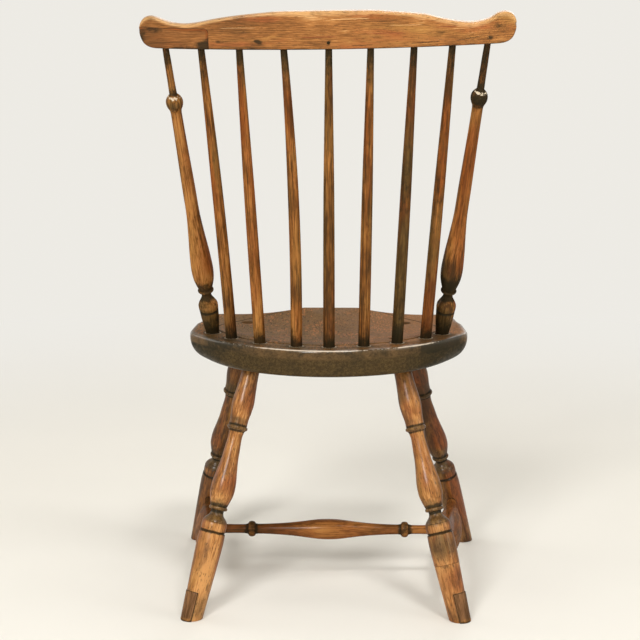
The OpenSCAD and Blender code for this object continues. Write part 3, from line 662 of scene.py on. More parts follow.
class ChairStudio(PropertyGroup):
    """The floor, the lamps and the camera."""

    floor: colour_prop("Floor", "Colour of the floor and backdrop", (0.86, 0.83, 0.76))
    backdrop: colour_prop("Backdrop", "Colour of the distance as the camera sees it", (0.85, 0.83, 0.78))
    key: FloatProperty(name="Key", description="Power of the main lamp", default=140, min=0, unit="POWER")
    fill: FloatProperty(name="Fill", description="Power of each of the other lamps", default=26, min=0,
                        unit="POWER")
    sky: FloatProperty(name="Surrounding light", description="Strength of the even light", default=0.40,
                       min=0)
    lens: FloatProperty(name="Lens", description="Focal length on a 36 mm sensor", default=105.93, min=20,
                        max=300)


def shape_mm(name):
    """One of the shape settings, in millimetres."""
    return getattr(bpy.context.scene.chair_shape, name) * 1000


def finish_of(kind):
    """The material of one kind of piece, made once."""
    if kind in bpy.data.materials:
        return bpy.data.materials[kind]
    tints = bpy.context.scene.chair_finish
    honey, amber, brown, umber, soot = (
        tuple(getattr(tints, key)) for key in ("honey", "amber", "brown", "umber", "soot"))
    soft = tuple(0.5 * a + 0.5 * b for a, b in zip(amber, honey))
    cherry, mustard, rust = (0.24, 0.066, 0.018), (0.42, 0.215, 0.055), (0.33, 0.085, 0.026)
    turned = dict(dark=umber, mid=brown, light=amber, bare=soft)
    recipes = {
        "old_spindle": turned | dict(
            figure=1.6, dash=0.45, coat=0.10, grain_size=330,
            casts=((cherry, 41, 0.35), (mustard, 29, 0.25))),
        "old_post": turned | dict(
            figure=1.5, dash=0.45, coat=0.14, grain_size=300, casts=((cherry, 37, 0.35), (mustard, 26, 0.3)),
            extra=flecks_highlights_and_ends),
        "old_leg": turned | dict(
            bare=(0.55, 0.265, 0.085), coat=0.50, coat_rough=0.28, stain=0.75, dash=0.55, dash_size=420,
            dash_run=0.3, streak_run=0.11, scratch=0.7, casts=((cherry, 33, 0.4), (mustard, 24, 0.35)),
            extra=flecks_highlights_and_ends),
        "old_stretcher": turned | dict(
            mid=(0.165, 0.062, 0.017), figure=0.8, coat=0.16, casts=((cherry, 27, 0.3),)),
        "old_rail": dict(
            dark=(0.12, 0.050, 0.015), mid=(0.27, 0.105, 0.028), light=(0.44, 0.185, 0.052),
            bare=(0.66, 0.39, 0.165), grain_size=840, stain=0.35, dash=0.7, dash_size=840, coat=0.24,
            shine=0.03, casts=((mustard, 15, 0.55), (rust, 19, 0.6)), extra=rail_cracks),
        "patched_rail": dict(
            dark=(0.10, 0.042, 0.013), mid=(0.20, 0.078, 0.022), light=(0.33, 0.135, 0.038), bare=honey,
            figure=0.95, shine=0.03, grain_size=760, dash=0.45, dash_size=840, casts=((cherry, 31, 0.5),)),
        "old_seat": dict(
            dark=(0.038, 0.026, 0.011), mid=(0.088, 0.052, 0.020), light=(0.125, 0.070, 0.027),
            bare=(0.24, 0.115, 0.042), ring=0.004, pith=0.12, figure=0.4, stain=0.3, coat=0.25,
            olive=(0.058, 0.037, 0.013), shine=0.03, extra=deck_wear),
        "old_repair": dict(dark=umber, mid=(0.15, 0.072, 0.030), light=(0.27, 0.13, 0.052), bare=soft),
        "dark_wedge": dict(coat=0.0, dark=soot, mid=umber, light=brown, bare=brown),
    }
    return old_varnish(kind, grime=soot, gloss=tints.gloss, **recipes[kind])


# Seat


# Where spindles and posts stand in the seat, and their radius there
STICK_HOLES = [(x, 8.8) for x in SPINDLE_X] + [(STILE_X, 10.6), (-STILE_X, 10.6)]


def deck_wear(tree, parts, base, rough, height, weight):
    """The seat's top and arris: bare wood in patches, chipped pale rings round the sticks, a pale painted
    highlight line.

    The top has no coat, the rings' distance is taken in plan from each stick's middle, and a field of the
    mesh draws the painted highlight line along the arris.
    """
    top, brow, grain = attribute(tree, "deck"), attribute(tree, "brow"), attribute(tree, "grain", 1)
    along = along_fibre(tree, grain, 0.22)
    grains = noise(tree, along, 330, 4, 0.7).step(0.46, 0.62)
    patches = noise(tree, grain, 17, 3, 0.6).step(0.42, 0.62)
    right = 1 - parts.step(-0.17, 0.03)
    bare = grains * (patches * 0.75 + 0.12 + right * 0.30) * top
    pits = noise(tree, along, 400, 3, 0.6).step(0.53, 0.64) * top
    soil = attribute(tree, "grime").step(0.15, 0.65) * top
    base = (top * 0.58).blend(base, (0.182, 0.096, 0.033))
    base = bare.blend(base, (0.40, 0.150, 0.046))
    base = (pits * 0.7).blend(base, (0.045, 0.028, 0.012))
    base = (right * top * 0.45).blend(base, (0.32, 0.125, 0.034))
    base = (soil * 0.75).blend(base, (0.030, 0.023, 0.011))
    flat = vector_math(tree, "MULTIPLY", grain, (1, 0, 1))
    near = None
    for x, r in STICK_HOLES:
        middle = (x * 0.001, 0.0, bow(x) * 0.001)
        gap = vector_math(tree, "DISTANCE", flat, middle, 1) - r * 0.001
        near = gap if near is None else tree.maths("MINIMUM", near, gap)
    chips = noise(tree, grain, 500, 3, 0.6).step(0.38, 0.54)
    ring = near.step(0.0004, 0.0011) * (1 - near.step(0.0021, 0.0034)) * chips * top
    base = (ring * 0.85).blend(base, (0.42, 0.33, 0.22))
    dirt = (1 - near.step(0.0, 0.0007)) * top
    base = (dirt * 0.9).blend(base, (0.012, 0.010, 0.006))
    # The pale line along the arris is a painted highlight.
    line = (attribute(tree, "rub") + (noise(tree, grain, 150, 4, 0.65) - 0.5) * 0.9).step(0.24, 0.58)
    base = (line * 0.92).blend(base, (0.62, 0.52, 0.40))
    rough = rough + top * 0.3 - brow * 0.16
    height = height + grains * top * 0.5 - pits * 0.6
    return base, rough, height, (1 - top) * (weight * 0.6) + brow * 0.6


def even_outline(marks, count):
    """A closed curve through marks, resampled to equal steps of length."""
    p = np.array(marks, float)
    curve = rounded(np.vstack([p[-1:], p, p[:2]]), 12)
    run = np.r_[0, np.cumsum(np.linalg.norm(np.diff(curve, axis=0), axis=1))]
    even = np.linspace(0, run[-1], count, endpoint=False)
    return np.stack([np.interp(even, run, curve[:, k]) for k in range(2)], 1)


def seat_outline(count):
    """The seat's outline: the bow with an inset behind, marks at the corners, the front edge, mirrored."""
    w, f, y = SEAT_W / 2, SEAT_FRONT_W / 2, SEAT_FRONT_Y
    half = [[x, bow(x, SEAT_INSET)] for x in range(0, 181, 30)]
    half += [[w - 8, SEAT_CORNER_Y], [w, SEAT_CORNER_Y - 22], [w - 0.5, SEAT_CORNER_Y - 48]]
    half += [[mix(w - 0.5, f + 2, k / 4), mix(SEAT_CORNER_Y - 48, y + 54, k / 4)] for k in (1, 2, 3)]
    half += [[f + 2, y + 54], [f - 3, y + 24], [f - 24, y + 6]]
    half += [[(f - 24) * k / 4, y + k * k / 8] for k in (3, 2, 1, 0)]
    return even_outline(half + [[-x, y] for x, y in half[-2:0:-1]], count)


SEAT_CORNER_Y = bow(SEAT_W / 2 - 8, SEAT_INSET)
SEAT_HUB = np.array([-SEAT_SHIFT, -30.0])

# Points round the seat, half width of the band of rings at the gutter, and how far out on a ray it may lie
SEAT_POINTS, GUTTER_BAND, GUTTER_SHARE = 560, 4.0, 0.86


def seat_rings(arris):
    """Rings of the seat's skin, and how many lie on its top and on its arris.

    Rays run from the hub to the rim. On each lie the rings of the top, close together where the ray meets
    the gutter's arc, then a quarter circle of the arris radius, the straight side, a quarter ellipse that
    rounds the side under, and the rings of the flat underside back to the hub.
    """
    edge = seat_outline(SEAT_POINTS)
    along = unit(np.roll(edge, -1, 0) - np.roll(edge, 1, 0))
    out = np.stack([-along[:, 1], along[:, 0]], 1)
    aside = np.clip((np.abs(edge[:, 0]) - 90) / (SEAT_W / 2 - 90), 0, None) ** 2
    under = np.where(edge[:, 1] < SEAT_CORNER_Y - 10, UNDER_SIDE, mix(UNDER_REAR, UNDER_SIDE, aside))
    window = np.hanning(25) / np.hanning(25).sum()
    under = np.convolve(np.r_[under[-12:], under, under[:12]], window, "valid")[:, None]
    edge = edge - [SEAT_SHIFT, 0]
    rim = edge - out * arris
    ray = rim - SEAT_HUB
    off = SEAT_HUB - [0, GUTTER_Y]
    a, b, c = (ray ** 2).sum(1), (ray * off).sum(1), (off ** 2).sum() - GUTTER_BOW_R ** 2
    meet = np.minimum((-b + np.sqrt(b * b - a * c)) / a, GUTTER_SHARE)[:, None]
    band = GUTTER_BAND / np.sqrt(a)[:, None]
    inner = meet * np.linspace(0.03, 1, 44)[None, :-1] ** 0.9 * (meet - band) / meet
    groove = meet + band * np.linspace(-1, 1, 13)
    outer = mix(meet + band, 1.0, np.linspace(0, 1, 16)[None, 1:])
    top = SEAT_HUB + ray[:, None] * np.hstack([inner, groove, outer])[..., None]
    top_z = deck(top[..., 0], top[..., 1])
    rim_z = top_z[:, -1:]
    turn = np.radians(np.linspace(0, 90, 7))[1:]
    round_xy = rim[:, None] + out[:, None] * (arris * np.sin(turn))[:, None]
    round_z = rim_z - arris * (1 - np.cos(turn))
    turn = np.radians(np.linspace(0, 90, 15))
    low = rim_z - arris - 0.4
    side_z = np.minimum(SEAT_BOTTOM + np.minimum(under, SEAT_T - SEAT_BEVEL - 1) * (1 - np.sin(turn)), low)
    drop_z = mix(low, side_z[:, :1], np.linspace(0, 1, 6)[:-1])
    side_xy = edge[:, None] - (out * under)[:, None] * (1 - np.cos(np.r_[np.zeros(5), turn]))[:, None]
    belly_xy = SEAT_HUB + (edge - out * under - SEAT_HUB)[:, None] * np.linspace(1, 0.04, 12)[1:, None]
    belly_z = np.full(belly_xy.shape[:2], SEAT_BOTTOM)
    xy = np.concatenate([top, round_xy, side_xy, belly_xy], 1)
    z = np.hstack([top_z, round_z, drop_z, side_z, belly_z])
    return np.concatenate([xy, z[..., None]], -1).transpose(1, 0, 2), top.shape[1], round_z.shape[1]


def seat_fields(rings, n_top, n_round):
    """Grime in the gutter, round the sticks and behind, wear where one sits, wear with a painted highlight
    along the arris and a pale painted highlight line on it, and painted shade on the side toward its ends and
    lower edge.
    """
    x, y, z = rings[..., 0], rings[..., 1], rings[..., 2]
    ring_at = np.arange(rings.shape[0])[:, None] * np.ones_like(x)
    off = gutter_off(x, y)
    on_top = ease(z, SEAT_H - 16, SEAT_H - 12)
    side = 1 - on_top
    rear = ease(y, 20, 110)
    brow = bell(ring_at, n_top + n_round / 2, 2.6)
    sat = np.exp(-(((np.abs(x) - 70) / 110) ** 2 + ((y + 70) / 130) ** 2))
    grime = on_top * (0.55 * bell(off, 0, 2.2) + 0.16 * ease(off, -30, 12))
    for at, r in STICK_HOLES:
        gap = np.hypot(x - at, y - bow(at)) - (9.5 if r < 10 else 12.5)
        grime = grime + on_top * 0.35 * np.exp(-np.clip(gap, 0, None) / 5)
    margin = ease(off, GUTTER_GAP - 5, GUTTER_GAP + 8) * rear
    # On the top, grime in the margin behind the gutter and darker toward the right end; on the side, painted
    # shade toward the rear's lower edge and at both ends.
    grime = grime + margin * on_top * (0.22 + 0.30 * ease(np.abs(x + 10), 110, 175)) \
        + 0.5 * on_top * ease(-x, 135, 170) * ease(y, 10, 60) \
        + side * (0.24 * ease(-z, 30 - SEAT_H, 48 - SEAT_H) * rear
                  + 0.55 * ease(x, 125, 190) + 0.55 * ease(-x, 100, 170))
    # Painted shade at the ends of the side, which lowers its tone and draws it toward olive.
    ends_painted_shade = 0.34 * ease(x, 90, 200) + 0.22 * ease(-x, 110, 210)
    # Strength across the seat of the painted highlight line along the arris.
    rub = 0.34 + 0.50 * np.exp(-((x - 25) / 75) ** 4) + 0.42 * bell(x, -138, 34) \
        - 0.2 * ease(np.abs(x), 150, 210)
    return {
        "grain": np.stack([x, z, y], -1) * 0.001, "grime": np.clip(grime, 0, 1),
        # Wear where one sits, and on the arris band wear that is partly a painted highlight.
        "worn": np.clip(0.5 * brow + on_top * (0.55 * sat + 0.25 * ease(-y, 120, 215)), 0, 1),
        "tone": 0.34 + 0.16 * on_top + 0.10 * on_top * sat - (0.06 * rear + ends_painted_shade) * side,
        "deck": ease(n_top - ring_at, -1, 4), "brow": brow, "tint": -side * (0.6 + 2 * ends_painted_shade),
        "rub": bell(ring_at, n_top + 1.5, 1.3) * rear * rub}


class CHAIR_OT_seat(Operator):
    """Adds the saddled plank seat, skinned over rings from the middle of the top round to the underside."""

    bl_idname = "chair.seat"
    bl_label = "Saddled seat"

    def execute(self, context):
        rings, n_top, n_round = seat_rings(shape_mm("seat_arris"))
        poles = np.array([[*SEAT_HUB, deck(*SEAT_HUB)], [*SEAT_HUB, SEAT_BOTTOM]])
        piece = tube("saddled_seat", rings, seat_fields(rings, n_top, n_round), poles, 50)
        dress(piece, "old_seat", "seat", "seat")
        return {"FINISHED"}


# Crest rail


def rail_halves():
    """The rail's lower and upper outline as heights by distance along it, from the left ear to the right."""

    def half(dip):
        e, h = CREST_W / 2, CREST_H
        p = np.array([
            [0, 0], [40, 0], [80, 0], [120, 0], [160, 0], [200, 0], [232, 0], [e - 18, 0.8], [e - 7, 6],
            [e - 1.5, 16], [e, 27], [e - 2, 36], [e - 8, 42.6], [e - 17, 45.2], [e - 27, 43.2],
            [e - 39, dip + 4.2], [e - 52, dip + 1], [e - 66, dip], [e - 84, dip + 2.2], [e - 106, dip + 7],
            [e - 130, 0.842 * h], [e - 156, 0.903 * h], [e - 184, 0.956 * h], [70, 0.98 * h],
            [36, 0.996 * h], [0, h]], float)
        curve = rounded(np.vstack([p[:1], p, p[-1:]]), 24)
        tip = int(np.argmax(curve[:, 0]))
        return curve[:tip + 1], curve[tip:][::-1], curve[tip, 0] - 0.25

    lower_l, upper_l, tip_l = half(LEFT_DIP)
    lower_r, upper_r, tip_r = half(RIGHT_DIP)
    u = np.linspace(-1, 1, 421)
    tip = np.where(u > 0, tip_l, tip_r)
    x = mix(np.sin(u * np.pi / 2) * tip * 0.99996, u * tip, 0.35 * (1 - u ** 8))
    away = np.abs(x)
    low = np.where(x > 0, np.interp(away, *lower_l.T), np.interp(away, *lower_r.T))
    high = np.where(x > 0, np.interp(away, *upper_l.T), np.interp(away, *upper_r.T))
    return x, low, high


def inward(x, z, sign):
    """Unit direction into the rail's face from an outline z(x), up with sign 1 and down with sign -1."""
    dx, dz = np.gradient(x), np.gradient(z)
    return unit(np.stack([-dz * sign, dx * sign], -1))


def rail_grid(x, low, high, arris, proud=0.0, bed=None, top_arris=None):
    """Rings of points round the rail at each place along it, as place along, height and depth.

    Each ring runs from the lower edge up the back face, over the top and down the front: straight runs joined
    by quarter circles of the arris radius, all set in from the outline along its normal. A piece let into the
    back stands a little proud and goes no deeper than its bed.
    """
    turn = np.radians(np.linspace(0, 90, 7))
    n_low, n_high = inward(x, low, 1), inward(x, high, -1)
    lower, upper = np.stack([x, low], -1) - n_low * proud, np.stack([x, high], -1) - n_high * proud
    r_low, r_high = arris, top_arris or arris
    inner_low, inner_high = lower + n_low * r_low, upper + n_high * r_high
    columns = []

    def add(point, depth):
        columns.append(np.concatenate([point, np.broadcast_to(depth, x.shape)[:, None]], -1))

    def front(point):
        thick = mix(CREST_T, CREST_TOP_T, np.clip(point[:, 1] / CREST_H, 0, 1.1))
        return np.full_like(thick, bed) if bed else thick

    for a in turn:                                  # lower back arris
        add(lower + n_low * r_low * (1 - np.cos(a)), r_low * (1 - np.sin(a)) - proud)
    for w in np.linspace(0, 1, 26)[1:-1]:           # back face
        add(mix(inner_low, inner_high, w), -proud)
    for a in turn[::-1]:                            # upper back arris
        add(upper + n_high * r_high * (1 - np.cos(a)), r_high * (1 - np.sin(a)) - proud)
    back = front(upper)
    for w in (0.33, 0.67):                          # top
        add(upper, mix(r_high, back - r_high, w))
    for a in turn:                                  # upper front arris
        add(upper + n_high * r_high * (1 - np.cos(a)), back - r_high * (1 - np.sin(a)))
    for w in np.linspace(1, 0, 14)[1:-1]:           # front face
        face = mix(inner_low, inner_high, w)
        add(face, front(face))
    back = front(lower)
    for a in turn[::-1]:                            # lower front arris
        add(lower + n_low * r_low * (1 - np.cos(a)), back - r_low * (1 - np.sin(a)))
    for w in (0.67, 0.33):                          # lower edge
        add(lower, mix(r_low, back - r_low, w))
    return np.stack(columns, 1)


def place_rail(grid):
    """Bends the grid's place along, height and depth onto the rail and stands it in the chair."""
    x, z, depth = grid[..., 0] - CREST_SHIFT, grid[..., 1], grid[..., 2]
    return from_rail(x, rail_y(x, depth), z)


def rail_tips(grid):
    """The poles of a rail skin: the middle of each end ring, kept at the full length of its outline."""
    middle = grid[[0, -1]].mean(1)
    middle[:, 0] = grid[0, :, 0].min(), grid[-1, :, 0].max()
    return place_rail(middle)


def rail_fields(grid, stains, tone):
    """Grain along the rail, grime along the lower edge and in stains, and wear with a painted highlight along
    the top.
    """
    along, up, depth = grid[..., 0], grid[..., 1], grid[..., 2]
    x = along - CREST_SHIFT
    grime = 0.62 * bell(up, 0, 2.8)
    for at, height, half, half_up, strength in stains:
        grime = grime + strength * bell(x, at, half) * bell(up, height, half_up)
    below = np.interp(along, RAIL_X, RAIL_HIGH) - up
    # Along the top edge wear and a painted highlight, a broader painted highlight over the upper middle, and
    # wear at the ears.
    worn = 0.9 * bell(below, 0, mix(3.5, 6.0, ease(-x, 60, 190))) \
        + (0.30 + 0.30 * bell(x, 0, 95)) * bell(below, 0, 17) + 0.15 * ease(np.abs(along), 200, 262)
    return {"grain": np.stack([up, depth, x], -1) * 0.001, "grime": np.clip(grime, 0, 1),
            "worn": np.clip(worn, 0, 1), "tone": tone(x, up)}


RAIL_X, RAIL_LOW, RAIL_HIGH = rail_halves()

# Stains on the rail and on its patch: place along, height, half length, half height, strength
RAIL_STAINS = [
    (92, 10.5, 6.5, 4.6, 0.75), (97, 13, 4, 2.2, 0.7), (152, 12, 22, 3.2, 0.42), (-5.5, 10.5, 5.5, 4.5, 0.5),
    (-166, 20, 9, 4, 0.55), (-246, 24, 13, 12, 0.40), (-235, 9, 5, 4, 0.6), (250, 24, 15, 6, 0.45),
    (20, 12, 10, 8, 0.3), (-120, 16, 30, 3, 0.25), (60, 30, 26, 3, 0.2), (-60, 24, 26, 4, 0.22),
    (-205, 8, 20, 3.5, 0.35)]
PATCH_STAINS = [(171, 8, 13, 8, 0.75), (244, 26, 20, 6, 0.62), (262, 12, 6, 12, 0.7), (200, 5, 20, 4, 0.35)]

# Lines along the rail's fibres in metres: place along and height of both ends, half width
RAIL_CRACKS = [(-0.184, 0.0075, -0.222, 0.0125, 0.00045), (-0.120, 0.0062, -0.164, 0.0078, 0.0004),
               (-0.036, 0.0052, -0.068, 0.0060, 0.0004), (0.205, 0.0265, 0.262, 0.0245, 0.0005)]
# The first pale line, high on the middle of the rail, is a painted highlight.
RAIL_PALE = [(-0.008, 0.0430, -0.066, 0.0440, 0.0008), (0.150, 0.0310, 0.095, 0.0320, 0.0004),
             (-0.090, 0.0330, -0.140, 0.0325, 0.0004)]
RAIL_RED = [(-0.156, 0.0285, -0.190, 0.0280, 0.0008), (-0.065, 0.0225, -0.115, 0.0215, 0.0007),
            (0.035, 0.0180, -0.020, 0.0185, 0.0007)]


def rail_cracks(tree, parts, base, rough, height, weight):
    """Dark cracks, pale rubbed lines with one painted highlight among them, and red lines on the rail, drawn
    from distances on its face.
    """
    up, along = parts, parts.other(2)
    wobble = noise(tree, attribute(tree, "grain", 1), 130, 2) - 0.5

    def drawn(lines):
        total = None
        for x0, z0, x1, z1, half in lines:
            run = (along - x0) / (x1 - x0)
            off = abs(up - z0 - run * (z1 - z0) + wobble * 0.0022)
            line = (1 - off.step(half * 0.4, half * 1.6)) * run.step(0.0, 0.12) * (1 - run.step(0.85, 1.0))
            total = line if total is None else tree.maths("MAXIMUM", total, line)
        return total

    # Pale lines, the first of them a painted highlight.
    base = (drawn(RAIL_PALE) * 0.45).blend(base, (0.78, 0.46, 0.20))
    base = (drawn(RAIL_RED) * 0.7).blend(base, (0.20, 0.052, 0.020))
    cracks = drawn(RAIL_CRACKS)
    base = (cracks * 0.8).blend(base, (0.03, 0.018, 0.009))
    return base, rough + cracks * 0.2, height - cracks * 1.5, weight


class CHAIR_OT_crest_rail(Operator):
    """Adds the bent crest rail, with its rounded ears and worn arrises."""

    bl_idname = "chair.crest_rail"
    bl_label = "Crest rail"

    def execute(self, context):
        grid = rail_grid(RAIL_X, RAIL_LOW, RAIL_HIGH, shape_mm("rail_arris"))

        def tone(x, up):
            return 0.44 - 0.12 * ease(np.abs(x), 225, 262) - 0.08 * ease(-up, -14, -2) \
                + 0.05 * np.cos(x / 55) + 0.20 * ease(-x, 40, 150) - 0.10 * ease(x, 40, 130)

        fields = rail_fields(grid, RAIL_STAINS, tone)
        piece = tube("bent_rail", place_rail(grid), fields, rail_tips(grid), 50)
        dress(piece, "old_rail", "crest", "crest_rail")
        return {"FINISHED"}


class CHAIR_OT_crest_patch(Operator):
    """Adds the piece let into the back of the rail's left end, which follows the rail's own faces."""

    bl_idname = "chair.crest_patch"
    bl_label = "Crest patch"

    def execute(self, context):
        end = PATCH_X + CREST_SHIFT
        x = np.r_[end, end + 0.3, RAIL_X[RAIL_X > end + 0.3]]
        into = np.clip(end + PATCH_CORNER - x, 0, PATCH_CORNER)
        top = PATCH_H - PATCH_CORNER + np.sqrt(PATCH_CORNER ** 2 - into ** 2)
        low = np.interp(x, RAIL_X, RAIL_LOW)
        high = np.minimum(top, np.interp(x, RAIL_X, RAIL_HIGH) - 0.2)
        grid = rail_grid(x, low, high, shape_mm("rail_arris"), 0.7 * shape_mm("proud"), PATCH_T, 0.3)

        def tone(x, up):
            return 0.43 - 0.06 * ease(x, 205, 250) + 0.04 * np.cos(x / 17)

        fields = rail_fields(grid, PATCH_STAINS, tone)
        edge = np.minimum(np.abs(top[:, None] - grid[..., 1]), grid[..., 0] - end)
        # A darker, redder band along the patch's edges: a dark seam that is partly painted shade at the
        # patch's proud step.
        seam_and_shade = mix(0.7, 0.2, ease(grid[..., 0] - CREST_SHIFT, 200, 240))
        fields |= {"grime": np.clip(fields["grime"] + seam_and_shade * np.exp(-edge / 1.1), 0, 1),
                   "worn": np.zeros_like(edge), "grain": fields["grain"] + [0.2, 0.1, 0.4],
                   "tint": 1.3 * seam_and_shade * bell(edge, 0, 4.0)}
        piece = tube("rail_patch", place_rail(grid), fields, rail_tips(grid), 50)
        dress(piece, "patched_rail", "repair", "crest_patch")
        return {"FINISHED"}


class CHAIR_OT_crest_pegs(Operator):
    """Adds the two pegs in the rail's back face, each a short turned pin with a worn dome."""

    bl_idname = "chair.crest_pegs"
    bl_label = "Crest pegs"

    def execute(self, context):
        proud = shape_mm("proud")
        reach = CREST_T / 2 + STILE_FORWARD + 4.6
        top = -STILE_TOP_X - STILE_TOP_SHIFT
        post_x = top + PEG_Z * (top + STILE_X) / (CREST_Z - SEAT_H)
        for k, (x, kind) in enumerate(((SPINDLE_TOP_X[3], "dark_wedge"), (post_x, "old_repair"))):
            turn = np.arcsin(x / CREST_R)
            face = np.array([x, rail_y(x, 0.0), PEG_Z])
            out = np.array([np.sin(turn), np.cos(turn), 0.0])
            line = from_rail(*(face - out * reach)), from_rail(*(face + out * proud))
            profile = np.array([[0, 2.5], [2, PEG_R], [reach - 0.6, PEG_R], [reach - 0.1, PEG_R - 0.2],
                                [reach + proud, PEG_R - 0.7]])
            piece = lathe(f"rail_peg_{k + 1}", line, profile, 3.0 + k, 32, tone=0.3 + 0.7 * k,
                          dark=[(reach, 1.0, 0.7 - 0.4 * k)])
            dress(piece, kind, "wedge", "crest_pegs")
        return {"FINISHED"}


# Turned pieces of the back

# How far the posts' tenons stand out below the seat
TENON_LOW = 0.15

# Station of each post's ball, and its seed
POSTS = {LEFT: (416.5, 1.3), RIGHT: (424.5, 2.6)}


def underside(x, y):
    return np.full(np.shape(x), SEAT_BOTTOM - TENON_LOW)


class CHAIR_OT_posts(Operator):
    """Adds the two turned posts, from their tenons under the seat to the rail."""

    bl_idname = "chair.posts"
    bl_label = "Turned posts"

    def execute(self, context):
        for name, side in SIDES:
            ball, seed = POSTS[side]
            line = post_line(side)
            length = line_length(line)
            dark = [(2, 9, 0.8), (46.2, 2.5, 0.7), (70, 7, 0.5), (83, 9, 0.55), (length - 6, 34, 0.7),
                    (20, 26, 0.6), (97, 10, 0.6)]
            tints = [(20, 40, 90, -0.7), (60, 22, 0, -0.6), (105, 16, 90, -0.45)]
            if side == LEFT:
                bare = 0.35
                tints += [(125, 45, 180, 0.7), (190, 60, 180, 0.5), (340, 80, 20, -0.4), (360, 50, 180, 0.5),
                          (ball - 2, 10, 90, -0.5)]
            else:
                bare = 0.07
                dark += [(ball - 1, 11, 0.8), (ball + 30, 26, 0.4), (98, 18, 0.5), (122, 20, 0.25)]
                tints += [(120, 40, 0, -0.8), (128, 40, 180, 0.6), (200, 60, 100, 0.5), (330, 70, 90, 0.9),
                          (ball, 14, 90, -0.4)]

            def tone(s, phi, side=side, ball=ball):
                upper = ease(s, 430, 455)
                if side == LEFT:
                    own = 0.76 - 0.34 * upper
                else:
                    own = 0.54 - 0.42 * upper - 0.40 * ease(np.abs(s - 117), 55, 15) \
                        - 0.46 * bell(s, 118, 42) * (0.5 + 0.5 * np.cos(phi))
                return own - 0.58 * bell(s, ball, 12) - 0.38 * (1 - ease(s, 45, 90)) \
                    + 0.10 * np.cos(s / 31 + phi)

            piece = lathe(f"turned_post_{name}", line, post_profile(length, ball), seed, 64, start=underside,
                          tone=tone, dark=dark, tints=tints,
                          light=[(125, 26, bare), (54, 5, bare), (200, 40, 0.3)],
                          # Pale specks on the ball's shoulder, partly a painted highlight.
                          flecks_and_highlights=[(ball + 9.5, 2.2, 120, 0.75), (ball + 11, 1.5, 20, 0.55)])
            dress(piece, "old_post", "stile", f"stile_{name}")
        return {"FINISHED"}


# Spindles from the left: their tone, their tints, and the grime half way up some of them
SPINDLE_TONES = (0.44, 0.66, 0.44, 0.30, 0.40, 0.10, 0.12)
SPINDLE_TINTS = (
    ((300, 90, 40, 0.8), (330, 50, 150, -0.7), (60, 90, 60, 0.2)),
    ((395, 80, 50, 0.9), (260, 60, 170, 0.5), (130, 60, 150, 0.5)),
    ((380, 60, 100, 0.6), (250, 60, 20, -0.5), (60, 50, 120, 0.4)),
    ((370, 90, 90, 0.3), (220, 130, 0, -0.6), (220, 130, 180, -0.5), (60, 50, 90, -0.2)),
    ((360, 80, 60, 0.5), (230, 120, 180, -0.5), (80, 70, 90, -0.3)),
    ((330, 80, 90, -0.5), (120, 150, 90, -1.0), (240, 30, 90, 0.4)),
    ((330, 120, 90, 0.7), (200, 60, 0, -0.9), (110, 60, 60, -0.4), (60, 40, 120, 0.5)))
SPINDLE_GRIME = {4: (60, 0.22), 5: (80, 0.40), 6: (130, 0.32)}


class CHAIR_OT_spindles(Operator):
    """Adds the seven spindles, each with its own tone, bow and residue at the ends."""

    bl_idname = "chair.spindles"
    bl_label = "Spindles"

    def execute(self, context):
        for k, (x, top_x, sag) in enumerate(zip(SPINDLE_X, SPINDLE_TOP_X, SPINDLE_BOW)):
            line = stick(x, top_x)
            length = line_length(line)
            fade, high = (0.06, 0.04) if k in (0, 5, 6) else (0.34, 0.14)

            def tone(s, phi, k=k, length=length, fade=fade):
                return SPINDLE_TONES[k] - fade * ease(s / length, 0.70, 0.97) - 0.10 * (1 - ease(s, 8, 60)) \
                    + 0.10 * np.cos(s / 47 + 2.1 * k + phi)

            dark = [(1, 9, 0.95), (18, 20, 0.42), (length - 4, 42, 0.52), (length, 9, 0.4),
                    (length - 45, 55, high)]
            if k in SPINDLE_GRIME:
                dark.append((length * 0.55, *SPINDLE_GRIME[k]))
            if k == 5:
                dark.append((70, 90, 0.36))
            light = [(length * 0.45, 120, 0.15 if k < 4 else 0.05), (70, 40, 0.4 if k in (0, 1, 3) else 0.2)]
            piece = lathe(f"spindle_stick_{k + 1}", line, spindle_profile(length), 4.1 + 1.37 * k, 48, sag,
                          tone=tone, dark=dark, light=light, tints=SPINDLE_TINTS[k])
            dress(piece, "old_spindle", "spindle", f"spindle_{k + 1}")
        return {"FINISHED"}


# Legs


def floor_cut(x, y):
    return np.zeros(np.shape(x))


def deck_cut(x, y):
    return deck(x, y) + shape_mm("proud")


# Grime, wear and tints that all four legs share, and the tints of the pieced foot
LEG_DARK = [(138, 2.6, 0.9), (153.4, 1.2, 0.45), (170.5, 2.6, 0.5), (164, 6, -0.55), (182, 5, 0.45),
            (299.5, 2.5, 0.5), (287, 10, -0.45), (308.5, 2.2, 0.5), (398, 16, 0.5), (124, 10, 0.1)]
LEG_LIGHT = [(30, 60, 0.45), (208, 20, 0.4), (345, 18, 0.32), (147, 5, 0.35), (162, 8, -0.8),
             (175.5, 3, -0.8), (20, 25, 0.3), (304, 3, -0.8)]
LEG_TINTS = [(164, 10, 90, -1.6), (188, 10, 90, -0.9), (176, 4, 90, -1.4), (304, 5, 90, -1.3),
             (316, 8, 90, -0.8)]
TIP_TINTS = [(62, 24, 160, 0.9), (60, 30, 20, 0.3), (8, 16, 90, -0.4)]

